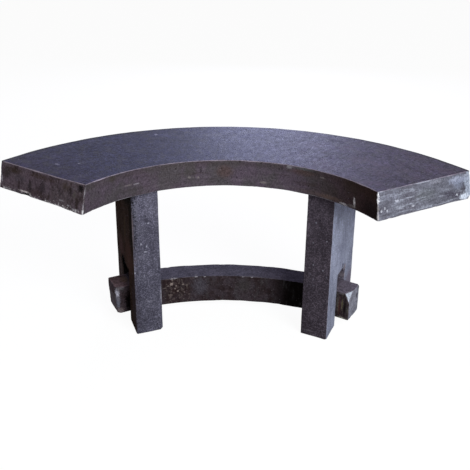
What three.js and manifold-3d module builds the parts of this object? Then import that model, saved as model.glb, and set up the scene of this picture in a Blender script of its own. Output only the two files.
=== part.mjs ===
// Curved fire pit bench of dark cast concrete.
// An arc-shaped seat slab stands on two slab legs. A low curved stretcher runs through a notch in each leg
// and shows beyond it as a short tongue. Steel dowels, pins and reinforcing bars sit inside the castings.
// Millimetres, +Z up. The concave side faces -Y. The origin is the middle of the footprint, on the ground.

import * as THREE from "three";
import { mergeVertices } from "three/addons/utils/BufferGeometryUtils.js";
import Module from "manifold-3d";

const wasm = await Module();
wasm.setup();

// Seat slab. Its arc is centred on the middle of the fire pit.
const seatHeight = 457;
const seatThickness = 65;
const seatInnerRadius = 366;
const seatDepth = 273;
const seatHalfAngle = THREE.MathUtils.degToRad(59);
const seatSideDraft = 3;
const seatEndDraft = 12;
const seatArris = 2.5;
const seatCornerRadius = 4;

// Base. Legs and stretcher are set out on a wider arc, whose centre lies nearer the viewer than the seat's.
const baseCentreForward = 168;
const baseRadius = 632;

// Legs
const legAngle = THREE.MathUtils.degToRad(23.3);
const legDepth = 208;
const legThickness = 69;
const legDraft = 1.5;
const legArris = 2.5;
const legCornerRadius = 4;
const notchHeight = 150;

// Stretcher
const stretcherGroundGap = 27;
const stretcherHeight = 77;
const stretcherDepth = 64;
const stretcherHalfAngle = THREE.MathUtils.degToRad(30);
const stretcherArris = 3;
const stretcherCornerRadius = 7;
const notchClearance = 0.5;

// Setting pads between the legs and the seat
const padThickness = 3;
const padSetback = 9;
const bearingGap = 0.3;

// Dowels that stop the seat sliding off, and the ferrules in the seat that they screw into
const dowelDiameter = 12;
const dowelInLeg = 80;
const dowelSetIn = 34;
const dowelTipChamfer = 1.2;
const ferruleDiameter = 16;
const ferruleLength = 25;
const ferruleCrown = 5;
const ferruleBoreClearance = 0.3;
const padHoleClearance = 1;

// Pins that carry the stretcher, and the mortar plugs that hide them at the back
const pinDiameter = 12;
const pinCover = 28;
const plugDiameter = 18;
const plugLength = 12;
const plugRecess = 0.6;

// Reinforcing bars
const seatBarDiameter = 10;
const crossBarDiameter = 8;
const legBarDiameter = 6;
const stretcherBarDiameter = 8;
const stretcherTieDiameter = 6;
const seatBarSideCover = 35;
const seatBarEndCover = 30;
const crossBarEndCover = 28;
const seatSteelCover = 18;
const legUprightSetIn = 30;
const legSteelEndCover = 24;
const topTieDrop = 30;
const lintelRise = 26;
const stretcherBarCover = 16;
const stretcherBarEndCover = 16;
const tieTrim = 3;

// Where steel touches steel, and where concrete wraps steel
const steelGap = 0.3;
const castClearance = 0.5;
const overrun = 10;

// Cross bars along the seat and ties along the stretcher, as shares of the half angle
const crossBarShares = [-0.82, -0.27, 0, 0.27, 0.82];
const tieShares = [-0.92, -0.46, 0, 0.46, 0.92];

// Facets
const seatArcSteps = 40;
const stretcherArcSteps = 24;
const barArcSteps = 28;
const cornerSteps = 3;
const barSides = 8;
const roundSides = 16;

// Heights and radii that follow
const seatOuterRadius = seatInnerRadius + seatDepth;
const seatUnderside = seatHeight - seatThickness;
const padTop = seatUnderside - bearingGap;
const padBottom = padTop - padThickness;
const legTop = padBottom - bearingGap;
const stretcherTop = stretcherGroundGap + stretcherHeight;
const dowelReach = legDepth / 2 - dowelSetIn;
const crossBarHeight = seatUnderside + seatSteelCover + crossBarDiameter / 2;
const seatBarHeight = crossBarHeight + crossBarDiameter / 2 + steelGap + seatBarDiameter / 2;
const lowerBarHeight = stretcherGroundGap + stretcherBarCover + stretcherBarDiameter / 2;
const upperBarHeight = stretcherTop - stretcherBarCover - stretcherBarDiameter / 2;
const pinHeight = lowerBarHeight + stretcherBarDiameter / 2 + steelGap + pinDiameter / 2;
const bearerOffset = ferruleDiameter / 2 + steelGap + crossBarDiameter / 2;
const legTieOffset = dowelDiameter / 2 + steelGap + legBarDiameter / 2;
const legUprightOffset = legTieOffset + legBarDiameter + steelGap;

const sides = [
  { name: "left", turn: legAngle },
  { name: "right", turn: -legAngle },
];
const places = [
  { name: "front", reach: -dowelReach },
  { name: "rear", reach: dowelReach },
];

// Finishes
const finishes = {
  seat: { color: 0x4b4a52, roughness: 0.55, metalness: 0 },
  leg: { color: 0x45434b, roughness: 0.7, metalness: 0 },
  stretcher: { color: 0x3a332f, roughness: 0.7, metalness: 0 },
  mortar: { color: 0x5a5856, roughness: 0.9, metalness: 0 },
  rubber: { color: 0x18181a, roughness: 0.8, metalness: 0 },
  galvanised: { color: 0x9da1a4, roughness: 0.45, metalness: 0.9 },
  barSteel: { color: 0x5c4a40, roughness: 0.75, metalness: 0.7 },
};

function part(name, geometry, finish) {
  geometry.computeVertexNormals();
  const mesh = new THREE.Mesh(geometry, new THREE.MeshStandardMaterial(finishes[finish]));
  mesh.name = name;
  return mesh;
}

// Solids and cuts

function solidOf(geometry) {
  const bare = geometry.clone();
  bare.deleteAttribute("normal");
  bare.deleteAttribute("uv");
  const merged = mergeVertices(bare);
  const mesh = new wasm.Mesh({
    numProp: 3,
    vertProperties: new Float32Array(merged.attributes.position.array),
    triVerts: new Uint32Array(merged.index.array),
  });
  return new wasm.Manifold(mesh);
}

function geometryOf(solid) {
  const mesh = solid.getMesh();
  const geometry = new THREE.BufferGeometry();
  geometry.setAttribute("position", new THREE.BufferAttribute(new Float32Array(mesh.vertProperties), 3));
  geometry.setIndex(new THREE.BufferAttribute(new Uint32Array(mesh.triVerts), 1));
  return geometry;
}

function cut(geometry, tools) {
  let solid = solidOf(geometry);
  for (const tool of tools) {
    solid = solid.subtract(solidOf(tool));
  }
  return geometryOf(solid);
}

// A point at a distance and an angle from an arc's centre. Angle zero points to +Y, and grows towards +X.
function polar(radius, angle) {
  return new THREE.Vector2(radius * Math.sin(angle), radius * Math.cos(angle));
}

function arcPoints(radius, from, to, steps) {
  const points = [];
  for (let step = 0; step <= steps; step++) {
    points.push(polar(radius, THREE.MathUtils.lerp(from, to, step / steps)));
  }
  return points;
}

function roundedCorner(before, corner, after) {
  return new THREE.QuadraticBezierCurve(before, corner, after).getPoints(cornerSteps);
}

// An arc-shaped block's outline with rounded corners, drawn in by an inset at its sides and one at its ends
function sectorOutline(block, inset, endInset = inset) {
  const inner = block.inner + inset;
  const outer = block.outer - inset;
  const endAngle = (radius) => block.halfAngle - Math.asin(endInset / radius);
  const rounded = (side, radius, inward) => {
    const along = polar(radius, side * (endAngle(radius) - block.corner / radius));
    const corner = polar(radius, side * endAngle(radius));
    const across = polar(radius + inward * block.corner, side * endAngle(radius + inward * block.corner));
    return [along, corner, across];
  };
  const [outerRight, outerRightTip, rightEndOuter] = rounded(1, outer, -1);
  const [outerLeft, outerLeftTip, leftEndOuter] = rounded(-1, outer, -1);
  const [innerLeft, innerLeftTip, leftEndInner] = rounded(-1, inner, 1);
  const [innerRight, innerRightTip, rightEndInner] = rounded(1, inner, 1);
  const outerSpan = endAngle(outer) - block.corner / outer;
  const innerSpan = endAngle(inner) - block.corner / inner;
  return [
    ...arcPoints(outer, outerSpan, -outerSpan, block.steps),
    ...roundedCorner(outerLeft, outerLeftTip, leftEndOuter).slice(1),
    ...roundedCorner(leftEndInner, innerLeftTip, innerLeft),
    ...arcPoints(inner, -innerSpan, innerSpan, block.steps).slice(1),
    ...roundedCorner(innerRight, innerRightTip, rightEndInner).slice(1),
    ...roundedCorner(rightEndOuter, outerRightTip, outerRight).slice(0, -1),
  ];
}

// The outline of a straight block, drawn in by an inset, with rounded corners
function blockOutline(block, inset) {
  const halfWide = block.wide / 2 - inset;
  const halfDeep = block.deep / 2 - inset;
  const points = [];
  for (const [right, back] of [[1, 1], [-1, 1], [-1, -1], [1, -1]]) {
    const corner = new THREE.Vector2(right * halfWide, block.centre + back * halfDeep);
    const alongX = corner.clone().setX(right * (halfWide - block.corner));
    const alongY = corner.clone().setY(block.centre + back * (halfDeep - block.corner));
    const turn = right * back > 0 ? [alongY, corner, alongX] : [alongX, corner, alongY];
    points.push(...roundedCorner(...turn));
  }
  return points;
}

// A closed solid between outlines at several heights. Each level is a height and the insets of its outline.
function stacked(outline, block, levels) {
  const rings = levels.map(([, ...insets]) => outline(block, ...insets));
  const count = rings[0].length;
  const position = [];
  const index = [];
  rings.forEach((ring, level) => {
    for (const point of ring) {
      position.push(point.x, point.y, levels[level][0]);
    }
  });
  for (let level = 0; level + 1 < rings.length; level++) {
    for (let here = 0; here < count; here++) {
      const next = (here + 1) % count;
      const low = level * count;
      const high = low + count;
      index.push(low + here, low + next, high + next);
      index.push(low + here, high + next, high + here);
    }
  }
  const last = (rings.length - 1) * count;
  for (const [a, b, c] of THREE.ShapeUtils.triangulateShape(rings[0], [])) {
    index.push(a, c, b);
  }
  for (const [a, b, c] of THREE.ShapeUtils.triangulateShape(rings[rings.length - 1], [])) {
    index.push(last + a, last + b, last + c);
  }
  const geometry = new THREE.BufferGeometry();
  geometry.setAttribute("position", new THREE.Float32BufferAttribute(position, 3));
  geometry.setIndex(index);
  return geometry;
}

// The stretcher's plan, to a half angle, and grown by a clearance
function stretcherBlock(halfAngle, grow = 0) {
  return {
    inner: baseRadius - stretcherDepth / 2 - grow,
    outer: baseRadius + stretcherDepth / 2 + grow,
    halfAngle,
    corner: stretcherCornerRadius,
    steps: stretcherArcSteps,
  };
}

// Levels of a block with broken edges, whose sides lean in from the widest level by the draft
function castLevels(bottom, top, draft, arris) {
  const leanAt = (height) => draft * (height - bottom) / (top - bottom);
  return [
    [bottom, arris],
    [bottom + arris, leanAt(bottom + arris)],
    [top - arris, leanAt(top - arris)],
    [top, draft + arris],
  ];
}

// Bars

class ArcPath extends THREE.Curve {
  constructor(radius, halfAngle, height) {
    super();
    this.radius = radius;
    this.halfAngle = halfAngle;
    this.height = height;
  }

  getPoint(share, target = new THREE.Vector3()) {
    const point = polar(this.radius, THREE.MathUtils.lerp(-this.halfAngle, this.halfAngle, share));
    return target.set(point.x, point.y, this.height);
  }
}

function curvedBar(radius, halfAngle, height, diameter) {
  const section = new THREE.Shape(
    Array.from({ length: barSides }, (_, side) => polar(diameter / 2, 2 * Math.PI * side / barSides)),
  );
  return new THREE.ExtrudeGeometry(section, {
    steps: barArcSteps,
    extrudePath: new ArcPath(radius, halfAngle, height),
    bevelEnabled: false,
  });
}

function upright(x, y, bottom, top, diameter, sideCount = barSides) {
  const geometry = new THREE.CylinderGeometry(diameter / 2, diameter / 2, top - bottom, sideCount);
  geometry.rotateX(Math.PI / 2);
  geometry.translate(x, y, (top + bottom) / 2);
  return geometry;
}

// A straight round bar that lies along the line from the arc's centre, from one radius to another
function radialBar(offset, from, to, height, diameter, sideCount = barSides) {
  const geometry = new THREE.CylinderGeometry(diameter / 2, diameter / 2, to - from, sideCount);
  geometry.translate(offset, (from + to) / 2, height);
  return geometry;
}

// Each bar has a list of values from which the steel, and the room for it in the concrete, are both made.
function steel(bar, grow = 0) {
  const diameter = bar.diameter + 2 * grow;
  const makers = {
    curved: () => curvedBar(bar.radius, bar.halfAngle + grow / bar.radius, bar.height, diameter),
    upright: () => upright(bar.x, bar.y, bar.bottom - grow, bar.top + grow, diameter),
    radial: () => radialBar(bar.offset, bar.from - grow, bar.to + grow, bar.height, diameter),
  };
  const geometry = makers[bar.form]();
  geometry.rotateZ(bar.turn ?? 0);
  geometry.translate(0, bar.shift ?? 0, 0);
  return geometry;
}

function rooms(bars) {
  return bars.map((bar) => steel(bar, castClearance));
}

// The distance from the base's centre at which a leg's centre line crosses a radius of the seat
function alongLegAt(seatRadius) {
  const ahead = baseCentreForward * Math.cos(legAngle);
  const aside = baseCentreForward * Math.sin(legAngle);
  return ahead + Math.sqrt(seatRadius ** 2 - aside ** 2);
}

// Seat

function seatBars() {
  const bars = [];
  const innermost = seatInnerRadius + seatBarSideCover + seatBarDiameter / 2;
  const outermost = seatOuterRadius - seatBarSideCover - seatBarDiameter / 2;
  const runs = [
    ["seat_bar_inner", innermost],
    ["seat_bar_middle", (innermost + outermost) / 2],
    ["seat_bar_outer", outermost],
  ];
  for (const [name, radius] of runs) {
    const halfAngle = seatHalfAngle - seatBarEndCover / radius;
    bars.push({ name, form: "curved", radius, halfAngle, height: seatBarHeight, diameter: seatBarDiameter });
  }
  crossBarShares.forEach((share, count) => {
    bars.push({
      name: `seat_cross_bar_${count + 1}`,
      form: "radial",
      offset: 0,
      from: seatInnerRadius + crossBarEndCover,
      to: seatOuterRadius - crossBarEndCover,
      height: crossBarHeight,
      diameter: crossBarDiameter,
      turn: -share * seatHalfAngle,
    });
  });
  for (const side of sides) {
    for (const [place, offset] of [["inner", -bearerOffset], ["outer", bearerOffset]]) {
      bars.push({
        name: `bearer_bar_${side.name}_${place}`,
        form: "radial",
        offset: side.turn > 0 ? -offset : offset,
        from: alongLegAt(seatInnerRadius + crossBarEndCover),
        to: alongLegAt(seatOuterRadius - crossBarEndCover),
        height: crossBarHeight,
        diameter: crossBarDiameter,
        turn: side.turn,
        shift: -baseCentreForward,
      });
    }
  }
  return bars;
}

function ferruleRoom(side, place) {
  const grow = 2 * castClearance;
  const top = seatUnderside + ferruleLength + castClearance;
  const reach = baseRadius + place.reach;
  const geometry = upright(0, reach, seatUnderside - overrun, top, ferruleDiameter + grow, roundSides);
  geometry.rotateZ(side.turn);
  geometry.translate(0, -baseCentreForward, 0);
  return geometry;
}

// The sides and the ends of the seat lean outwards below its top, each by a draft of its own.
function seatLevel(height, arris) {
  const drop = (seatHeight - height) / seatThickness;
  return [height, arris - drop * seatSideDraft, arris - drop * seatEndDraft];
}

function seatSlab(bars) {
  const block = {
    inner: seatInnerRadius,
    outer: seatOuterRadius,
    halfAngle: seatHalfAngle,
    corner: seatCornerRadius,
    steps: seatArcSteps,
  };
  const levels = [
    seatLevel(seatUnderside, seatArris),
    seatLevel(seatUnderside + seatArris, 0),
    seatLevel(seatHeight - seatArris, 0),
    seatLevel(seatHeight, seatArris),
  ];
  const slab = stacked(sectorOutline, block, levels);
  const sockets = sides.flatMap((side) => places.map((place) => ferruleRoom(side, place)));
  return cut(slab, [...rooms(bars), ...sockets]);
}

// Each ferrule is a steel cup, open downwards, that the dowel screws into.
function ferrule() {
  const outer = ferruleDiameter / 2;
  const bore = dowelDiameter / 2 + ferruleBoreClearance;
  const profile = [
    [0, ferruleLength - ferruleCrown],
    [bore, ferruleLength - ferruleCrown],
    [bore, 0],
    [outer, 0],
    [outer, ferruleLength],
    [0, ferruleLength],
  ];
  const geometry = new THREE.LatheGeometry(profile.map(([x, y]) => new THREE.Vector2(x, y)), roundSides);
  geometry.rotateX(Math.PI / 2);
  return geometry;
}

// Legs, drawn with the base's centre at the origin and the leg's centre line along +Y

function legBars(name) {
  const bars = [];
  const tieReach = legDepth / 2 - legSteelEndCover;
  const uprightReach = legDepth / 2 - legUprightSetIn;
  let count = 0;
  for (const offset of [-legUprightOffset, legUprightOffset]) {
    for (const reach of [-uprightReach, uprightReach]) {
      count += 1;
      bars.push({
        name: `${name}_upright_bar_${count}`,
        form: "upright",
        x: offset,
        y: baseRadius + reach,
        bottom: legSteelEndCover,
        top: legTop - legSteelEndCover,
        diameter: legBarDiameter,
      });
    }
  }
  const rows = [["top_tie", legTop - topTieDrop], ["lintel_bar", notchHeight + lintelRise]];
  for (const [row, height] of rows) {
    [-legTieOffset, legTieOffset].forEach((offset, place) => {
      bars.push({
        name: `${name}_${row}_${place + 1}`,
        form: "radial",
        offset,
        from: baseRadius - tieReach,
        to: baseRadius + tieReach,
        height,
        diameter: legBarDiameter,
      });
    });
  }
  return bars;
}

// The notch follows the stretcher's curve, with a little clearance on both sides.
function notchTool() {
  const block = stretcherBlock(legThickness / baseRadius, notchClearance);
  return stacked(sectorOutline, block, [[-overrun, 0], [notchHeight, 0]]);
}

// The pin is driven in from the back of the leg, through the stretcher, and stops inside the front foot.
const pinFrom = baseRadius - legDepth / 2 + pinCover;
const pinTo = baseRadius + legDepth / 2 - legDraft - plugRecess - plugLength - steelGap;
const pinBehind = baseRadius + legDepth / 2 + overrun;

function pinHole() {
  const diameter = pinDiameter + 2 * castClearance;
  return radialBar(0, pinFrom - castClearance, pinBehind, pinHeight, diameter, roundSides);
}

function plugHole() {
  const diameter = plugDiameter + 2 * castClearance;
  return radialBar(0, pinTo + steelGap / 2, pinBehind, pinHeight, diameter, roundSides);
}

function dowelTools() {
  const bottom = legTop - dowelInLeg - castClearance;
  const diameter = dowelDiameter + 2 * castClearance;
  return places.map((place) => {
    return upright(0, baseRadius + place.reach, bottom, legTop + overrun, diameter, roundSides);
  });
}

function leg(bars) {
  const block = { wide: legThickness, deep: legDepth, centre: baseRadius, corner: legCornerRadius };
  const slab = stacked(blockOutline, block, castLevels(0, legTop, legDraft, legArris));
  return cut(slab, [notchTool(), ...dowelTools(), pinHole(), plugHole(), ...rooms(bars)]);
}

function settingPad() {
  const block = {
    wide: legThickness - 2 * padSetback,
    deep: legDepth - 2 * padSetback,
    centre: baseRadius,
    corner: legCornerRadius,
  };
  const holes = places.map((place) => {
    const diameter = dowelDiameter + 2 * padHoleClearance;
    return upright(0, baseRadius + place.reach, padBottom - overrun, padTop + overrun, diameter, roundSides);
  });
  return cut(stacked(blockOutline, block, [[padBottom, 0], [padTop, 0]]), holes);
}

// A dowel is a plain rod with a broken edge at each end.
function dowel() {
  const bottom = legTop - dowelInLeg;
  const top = seatUnderside + ferruleLength - ferruleCrown - steelGap;
  const radius = dowelDiameter / 2;
  const profile = [
    [0, bottom],
    [radius - dowelTipChamfer, bottom],
    [radius, bottom + dowelTipChamfer],
    [radius, top - dowelTipChamfer],
    [radius - dowelTipChamfer, top],
    [0, top],
  ];
  const geometry = new THREE.LatheGeometry(profile.map(([x, y]) => new THREE.Vector2(x, y)), roundSides);
  geometry.rotateX(Math.PI / 2);
  return geometry;
}

function pinPlug() {
  const from = pinTo + steelGap;
  return radialBar(0, from, from + plugLength, pinHeight, plugDiameter, roundSides);
}

// Stretcher

function stretcherBars() {
  const halfAngle = stretcherHalfAngle - stretcherBarEndCover / baseRadius;
  const bars = [["stretcher_bar_lower", lowerBarHeight], ["stretcher_bar_upper", upperBarHeight]];
  const list = bars.map(([name, height]) => {
    return { name, form: "curved", radius: baseRadius, halfAngle, height, diameter: stretcherBarDiameter };
  });
  tieShares.forEach((share, count) => {
    list.push({
      name: `stretcher_tie_${count + 1}`,
      form: "upright",
      x: 0,
      y: baseRadius + stretcherBarDiameter / 2 + steelGap + stretcherTieDiameter / 2,
      bottom: lowerBarHeight - stretcherBarDiameter / 2 - tieTrim,
      top: upperBarHeight + stretcherBarDiameter / 2 + tieTrim,
      diameter: stretcherTieDiameter,
      turn: -share * stretcherHalfAngle,
    });
  });
  return list;
}

function stretcher(bars) {
  const block = stretcherBlock(stretcherHalfAngle);
  const rail = stacked(sectorOutline, block, castLevels(stretcherGroundGap, stretcherTop, 0, stretcherArris));
  const pinHoles = sides.map((side) => pinHole().rotateZ(side.turn));
  return cut(rail, [...rooms(bars), ...pinHoles]);
}

// Assembly

const bench = new THREE.Group();

const seatSteel = seatBars();
bench.add(part("seat_slab", seatSlab(seatSteel), "seat"));
for (const bar of seatSteel) {
  bench.add(part(bar.name, steel(bar), "barSteel"));
}

const base = new THREE.Group();
base.position.y = -baseCentreForward;
bench.add(base);

const stretcherSteel = stretcherBars();
base.add(part("stretcher", stretcher(stretcherSteel), "stretcher"));
for (const bar of stretcherSteel) {
  base.add(part(bar.name, steel(bar), "barSteel"));
}

for (const side of sides) {
  const support = new THREE.Group();
  support.rotation.z = side.turn;
  base.add(support);
  const steelInLeg = legBars(`leg_${side.name}`);
  support.add(part(`leg_${side.name}`, leg(steelInLeg), "leg"));
  for (const bar of steelInLeg) {
    support.add(part(bar.name, steel(bar), "barSteel"));
  }
  support.add(part(`setting_pad_${side.name}`, settingPad(), "rubber"));
  const pin = radialBar(0, pinFrom, pinTo, pinHeight, pinDiameter, roundSides);
  support.add(part(`stretcher_pin_${side.name}`, pin, "galvanised"));
  support.add(part(`pin_plug_${side.name}`, pinPlug(), "mortar"));
  for (const place of places) {
    const rod = part(`dowel_${side.name}_${place.name}`, dowel(), "galvanised");
    rod.position.y = baseRadius + place.reach;
    const cup = part(`ferrule_${side.name}_${place.name}`, ferrule(), "galvanised");
    cup.position.set(0, baseRadius + place.reach, seatUnderside);
    support.add(rod, cup);
  }
}

// Set the middle of the footprint on the origin.
const footprint = new THREE.Box3().setFromObject(bench);
bench.position.y = -(footprint.min.y + footprint.max.y) / 2;

export default bench;
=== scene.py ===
# %% [markdown]
# # A curved fire pit bench in dark cast concrete
#
# This lesson dresses a measured model of a garden bench and photographs it in a plain white studio.
# It has four castings: an arc-shaped seat slab, two legs, and a low stretcher that runs through the
# legs. The measured model already has every piece in its true place, but its edges are as crisp as
# a drawing. Here each casting gets the skin of real concrete: knocked arrises, air holes, smears
# and lime bloom.

import math
import random
from types import SimpleNamespace

import bpy
import numpy as np
from mathutils import Matrix, Vector, noise


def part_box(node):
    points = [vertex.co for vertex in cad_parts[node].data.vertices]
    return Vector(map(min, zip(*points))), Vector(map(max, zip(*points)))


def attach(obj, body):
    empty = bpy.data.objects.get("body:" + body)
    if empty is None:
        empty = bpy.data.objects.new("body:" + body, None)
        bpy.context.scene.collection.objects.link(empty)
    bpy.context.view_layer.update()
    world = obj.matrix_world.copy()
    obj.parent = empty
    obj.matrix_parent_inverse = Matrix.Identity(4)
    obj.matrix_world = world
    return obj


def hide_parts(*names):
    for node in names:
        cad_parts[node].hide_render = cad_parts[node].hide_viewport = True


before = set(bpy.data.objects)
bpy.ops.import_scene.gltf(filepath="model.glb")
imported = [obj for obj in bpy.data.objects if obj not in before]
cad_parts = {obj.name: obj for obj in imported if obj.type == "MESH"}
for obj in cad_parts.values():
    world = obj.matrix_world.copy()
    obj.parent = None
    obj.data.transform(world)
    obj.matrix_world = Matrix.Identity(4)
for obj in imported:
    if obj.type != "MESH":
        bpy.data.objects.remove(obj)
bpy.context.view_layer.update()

# %% [markdown]
# ## The sizes of the castings
#
# All sizes are in metres. The boxes of the measured pieces give some of them, and the others are
# the sizes that the bench was drawn from. The seat is a piece of a ring round the fire pit. The
# base has a wider ring of its own, with its middle nearer to the sitter, so that the legs stand a
# little less splayed than the ends of the seat.

# %% Sizes
seat_inner_radius = 0.366
seat_depth = 0.273
seat_half_angle = math.radians(59)
seat_side_draft = 0.003
seat_end_draft = 0.012
seat_arris = 0.0025
seat_low, seat_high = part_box("seat_slab")
seat_thickness = seat_high.z - seat_low.z
seat_outer_radius = seat_inner_radius + seat_depth
seat_outermost = seat_outer_radius + seat_side_draft * (1 - seat_arris / seat_thickness)
pit_y = seat_high.y - seat_outermost

base_radius = 0.632
base_nearer = 0.168
base_y = pit_y - base_nearer
leg_angle = math.radians(23.3)
leg_depth = 0.208
leg_thickness = 0.069
leg_draft = 0.0015
leg_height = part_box("leg_left")[1].z
notch_height = 0.150

rail_low, rail_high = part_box("stretcher")
rail_bottom = rail_low.z
rail_height = rail_high.z - rail_low.z
rail_depth = 0.064
rail_half_angle = math.radians(30)
notch_room = 0.0005
notch_half_depth = rail_depth / 2 + notch_room

plug_low, plug_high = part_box("pin_plug_left")
plug_height = (plug_low.z + plug_high.z) / 2
plug_radius = (plug_high.z - plug_low.z) / 2
plug_length = 0.012
plug_recess = 0.0006
plug_room = 0.0005

rail_back = base_y + base_radius + rail_depth / 2
print("back of the stretcher, drawn and measured:", round(rail_back, 4), round(rail_high.y, 4))

# %% [markdown]
# ## Skins made from grid cells
#
# A casting starts as a block of small boxes, like a voxel toy. A face is kept wherever a filled
# cell meets an empty one, so the result is one closed skin of little rectangles. A boolean cut
# would leave long thin triangles beside the notch of a leg. A grid is better here, because every
# later step moves points, and well spread points can follow a knock or a rounded arris anywhere.
# The lines of the grid stand close together beside an arris and further apart on the flats, where
# little happens.

# %% Grid skins
def grid_lines(stops, steps, fine=0.0013, growth=1.3):
    """A line on each stop, close neighbours beside it, then lines up to one step apart."""
    lines = [stops[0]]
    for low, high, step in zip(stops, stops[1:], steps):
        middle = (high - low) / 2
        reached = 0
        gap = fine
        half = []
        while reached < middle:
            reached += gap
            gap = min(gap * growth, step)
            half.append(reached)
        half = np.array(half) * (middle / reached)
        lines.extend(low + half)
        lines.extend(high - half[-2::-1])
        lines.append(high)
    return np.array(lines)


def skin_of_cells(lines, filled):
    """Corner points and quads of the closed skin round the filled cells of a grid."""
    cells = np.pad(filled, 1).astype(np.int8)
    grid_shape = [len(line) for line in lines]
    quads = []
    for axis in range(3):
        second, third = (axis + 1) % 3, (axis + 2) % 3
        change = np.diff(cells, axis=axis)
        for sign, turn in ((-1, 1), (1, -1)):
            first = np.argwhere(change == sign)
            first[:, second] -= 1
            first[:, third] -= 1
            ring = []
            for along, across in ((0, 0), (1, 0), (1, 1), (0, 1))[::turn]:
                corner = first.copy()
                corner[:, second] += along
                corner[:, third] += across
                ring.append(np.ravel_multi_index(corner.T, grid_shape))
            quads.append(np.stack(ring, 1))
    quads = np.concatenate(quads)
    used, renumbered = np.unique(quads, return_inverse=True)
    index = np.unravel_index(used, grid_shape)
    points = np.stack([line[place] for line, place in zip(lines, index)], 1)
    return points, renumbered.reshape(quads.shape)


def new_mesh_piece(name, points, faces):
    mesh = bpy.data.meshes.new(name)
    mesh.from_pydata(points, [], faces)
    mesh.shade_smooth()
    piece = bpy.data.objects.new(name, mesh)
    bpy.context.scene.collection.objects.link(piece)
    return piece


def read_vectors(source, field):
    values = np.empty(len(source) * 3)
    source.foreach_get(field, values)
    return values.reshape(-1, 3)


def read_points(mesh):
    return read_vectors(mesh.vertices, "co")


def read_normals(mesh):
    return read_vectors(mesh.vertex_normals, "vector")


def write_points(mesh, points):
    mesh.vertices.foreach_set("co", points.ravel())
    mesh.update()

# %% [markdown]
# ## Rounded arrises
#
# The edge of a casting is called its arris. A fresh one is sharp, and years of knocks round it,
# more in some places than in others. A Smooth modifier does just that on a grid skin: points on a
# flat face stay on it, because their neighbours lie on it too, and only the arrises draw back. A
# second Smooth modifier, held by a vertex group that a noise has painted, opens the arris further
# where it was worn most.

# %% Wear
def cloud(points, size, seed):
    """A soft random value from about 0 to 1 for each point, with blotches of the given size."""
    shift = Vector((seed * 1.7, seed * 2.3, seed * 3.1))
    values = [noise.noise(Vector(point) / size + shift) for point in points]
    return np.clip(np.array(values) * 0.9 + 0.5, 0, 1)


def wear_arrises(piece, rounds, worn_rounds, blotch, seed):
    """Rounds every arris a little and the blotchy parts of it more."""
    worn = piece.vertex_groups.new(name="worn")
    # The cloud has to pass about a half before an arris counts as worn.
    weights = np.clip(cloud(read_points(piece.data), blotch, seed) * 3 - 1.6, 0, 1)
    for index in np.flatnonzero(weights):
        worn.add([int(index)], float(weights[index]), "REPLACE")
    for name, count, group in (("arris", rounds, ""), ("worn arris", worn_rounds, "worn")):
        smooth = piece.modifiers.new(name, "SMOOTH")
        smooth.factor = 0.5
        smooth.iterations = count
        smooth.vertex_group = group
    shape = piece.evaluated_get(bpy.context.evaluated_depsgraph_get())
    write_points(piece.data, read_points(shape.data))
    piece.modifiers.clear()
    piece.vertex_groups.clear()

# %% [markdown]
# ## Knocks and flakes
#
# Where concrete is struck on its edge, a shallow shell-shaped flake comes away. A ball pressed into
# the skin leaves the same hollow: every point inside the ball moves out to its surface. Only the
# depth and the width of the flake are given, and the radius of the ball follows from them. A little
# noise keeps the break rough. A hard blow on a corner takes a flat flake instead, and there the
# points move in to a plane.

# %% Knocks
knock_bumps, knock_roughness = 220, 0.12
flake_bumps, flake_roughness = 160, 0.0005


def unevenness(point, bumps_per_metre, seed):
    return noise.noise(Vector(point) * bumps_per_metre + Vector((seed, 0, 0)))


def knock(points, at, outward, depth, width, seed=0):
    """Presses one ball-shaped hollow into the points, at a place on an arris or a corner."""
    radius = (width * width / 4 + depth * depth) / (2 * depth)
    centre = np.array(at) + np.array(Vector(outward).normalized()) * (radius - depth)
    away = points - centre
    distance = np.linalg.norm(away, axis=1)
    for index in np.flatnonzero(distance < radius):
        rough = unevenness(points[index], knock_bumps, seed) * knock_roughness * depth
        points[index] = centre + away[index] * ((radius + rough) / distance[index])


def knock_along(points, start, end, outward, count, depths, dice):
    """Scatters small knocks along a straight arris, from one end to the other."""
    for _ in range(count):
        share = dice.random()
        at = [a + (b - a) * share for a, b in zip(start, end)]
        depth = dice.uniform(*depths)
        knock(points, at, outward, depth, depth * dice.uniform(4, 9), dice.random() * 50)


def round_off(points, corner, sides, radius):
    """Rounds one upright corner of a block to a radius."""
    centre = np.array(corner) - np.array(sides) * radius
    away = (points[:, :2] - centre) * sides
    distance = np.hypot(*away.T)
    for index in np.flatnonzero((away > 0).all(1) & (distance > radius)):
        points[index, :2] = centre + away[index] * sides * (radius / distance[index])


def flake_off(points, corner, sides, reaches, seed):
    """Takes a flat flake off a corner. The reaches say how far it runs back along each axis."""
    slope = np.array(sides) / np.array(reaches)
    steepness = np.linalg.norm(slope)
    beyond = ((points - np.array(corner)) @ slope + 1) / steepness
    for index in np.flatnonzero(beyond > 0):
        rough = unevenness(points[index], flake_bumps, seed) * flake_roughness
        points[index] -= slope / steepness * max(beyond[index] + rough, 0)

# %% [markdown]
# ## From straight blocks to curved castings
#
# Each casting is worn and knocked as a straight block, where an arris is a straight line and easy
# to aim at. Then the seat and the stretcher are laid along their rings, and each leg is turned to
# its place. The straight places are kept on the skin as a named attribute, and so are the
# directions that its faces look in, and how far each point was drawn back from the sharp block. The
# finishes read them later: a smear can follow the curve of the seat, a stain can keep to one face,
# and a break can be pale, without any picture painted on the mesh.

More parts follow.
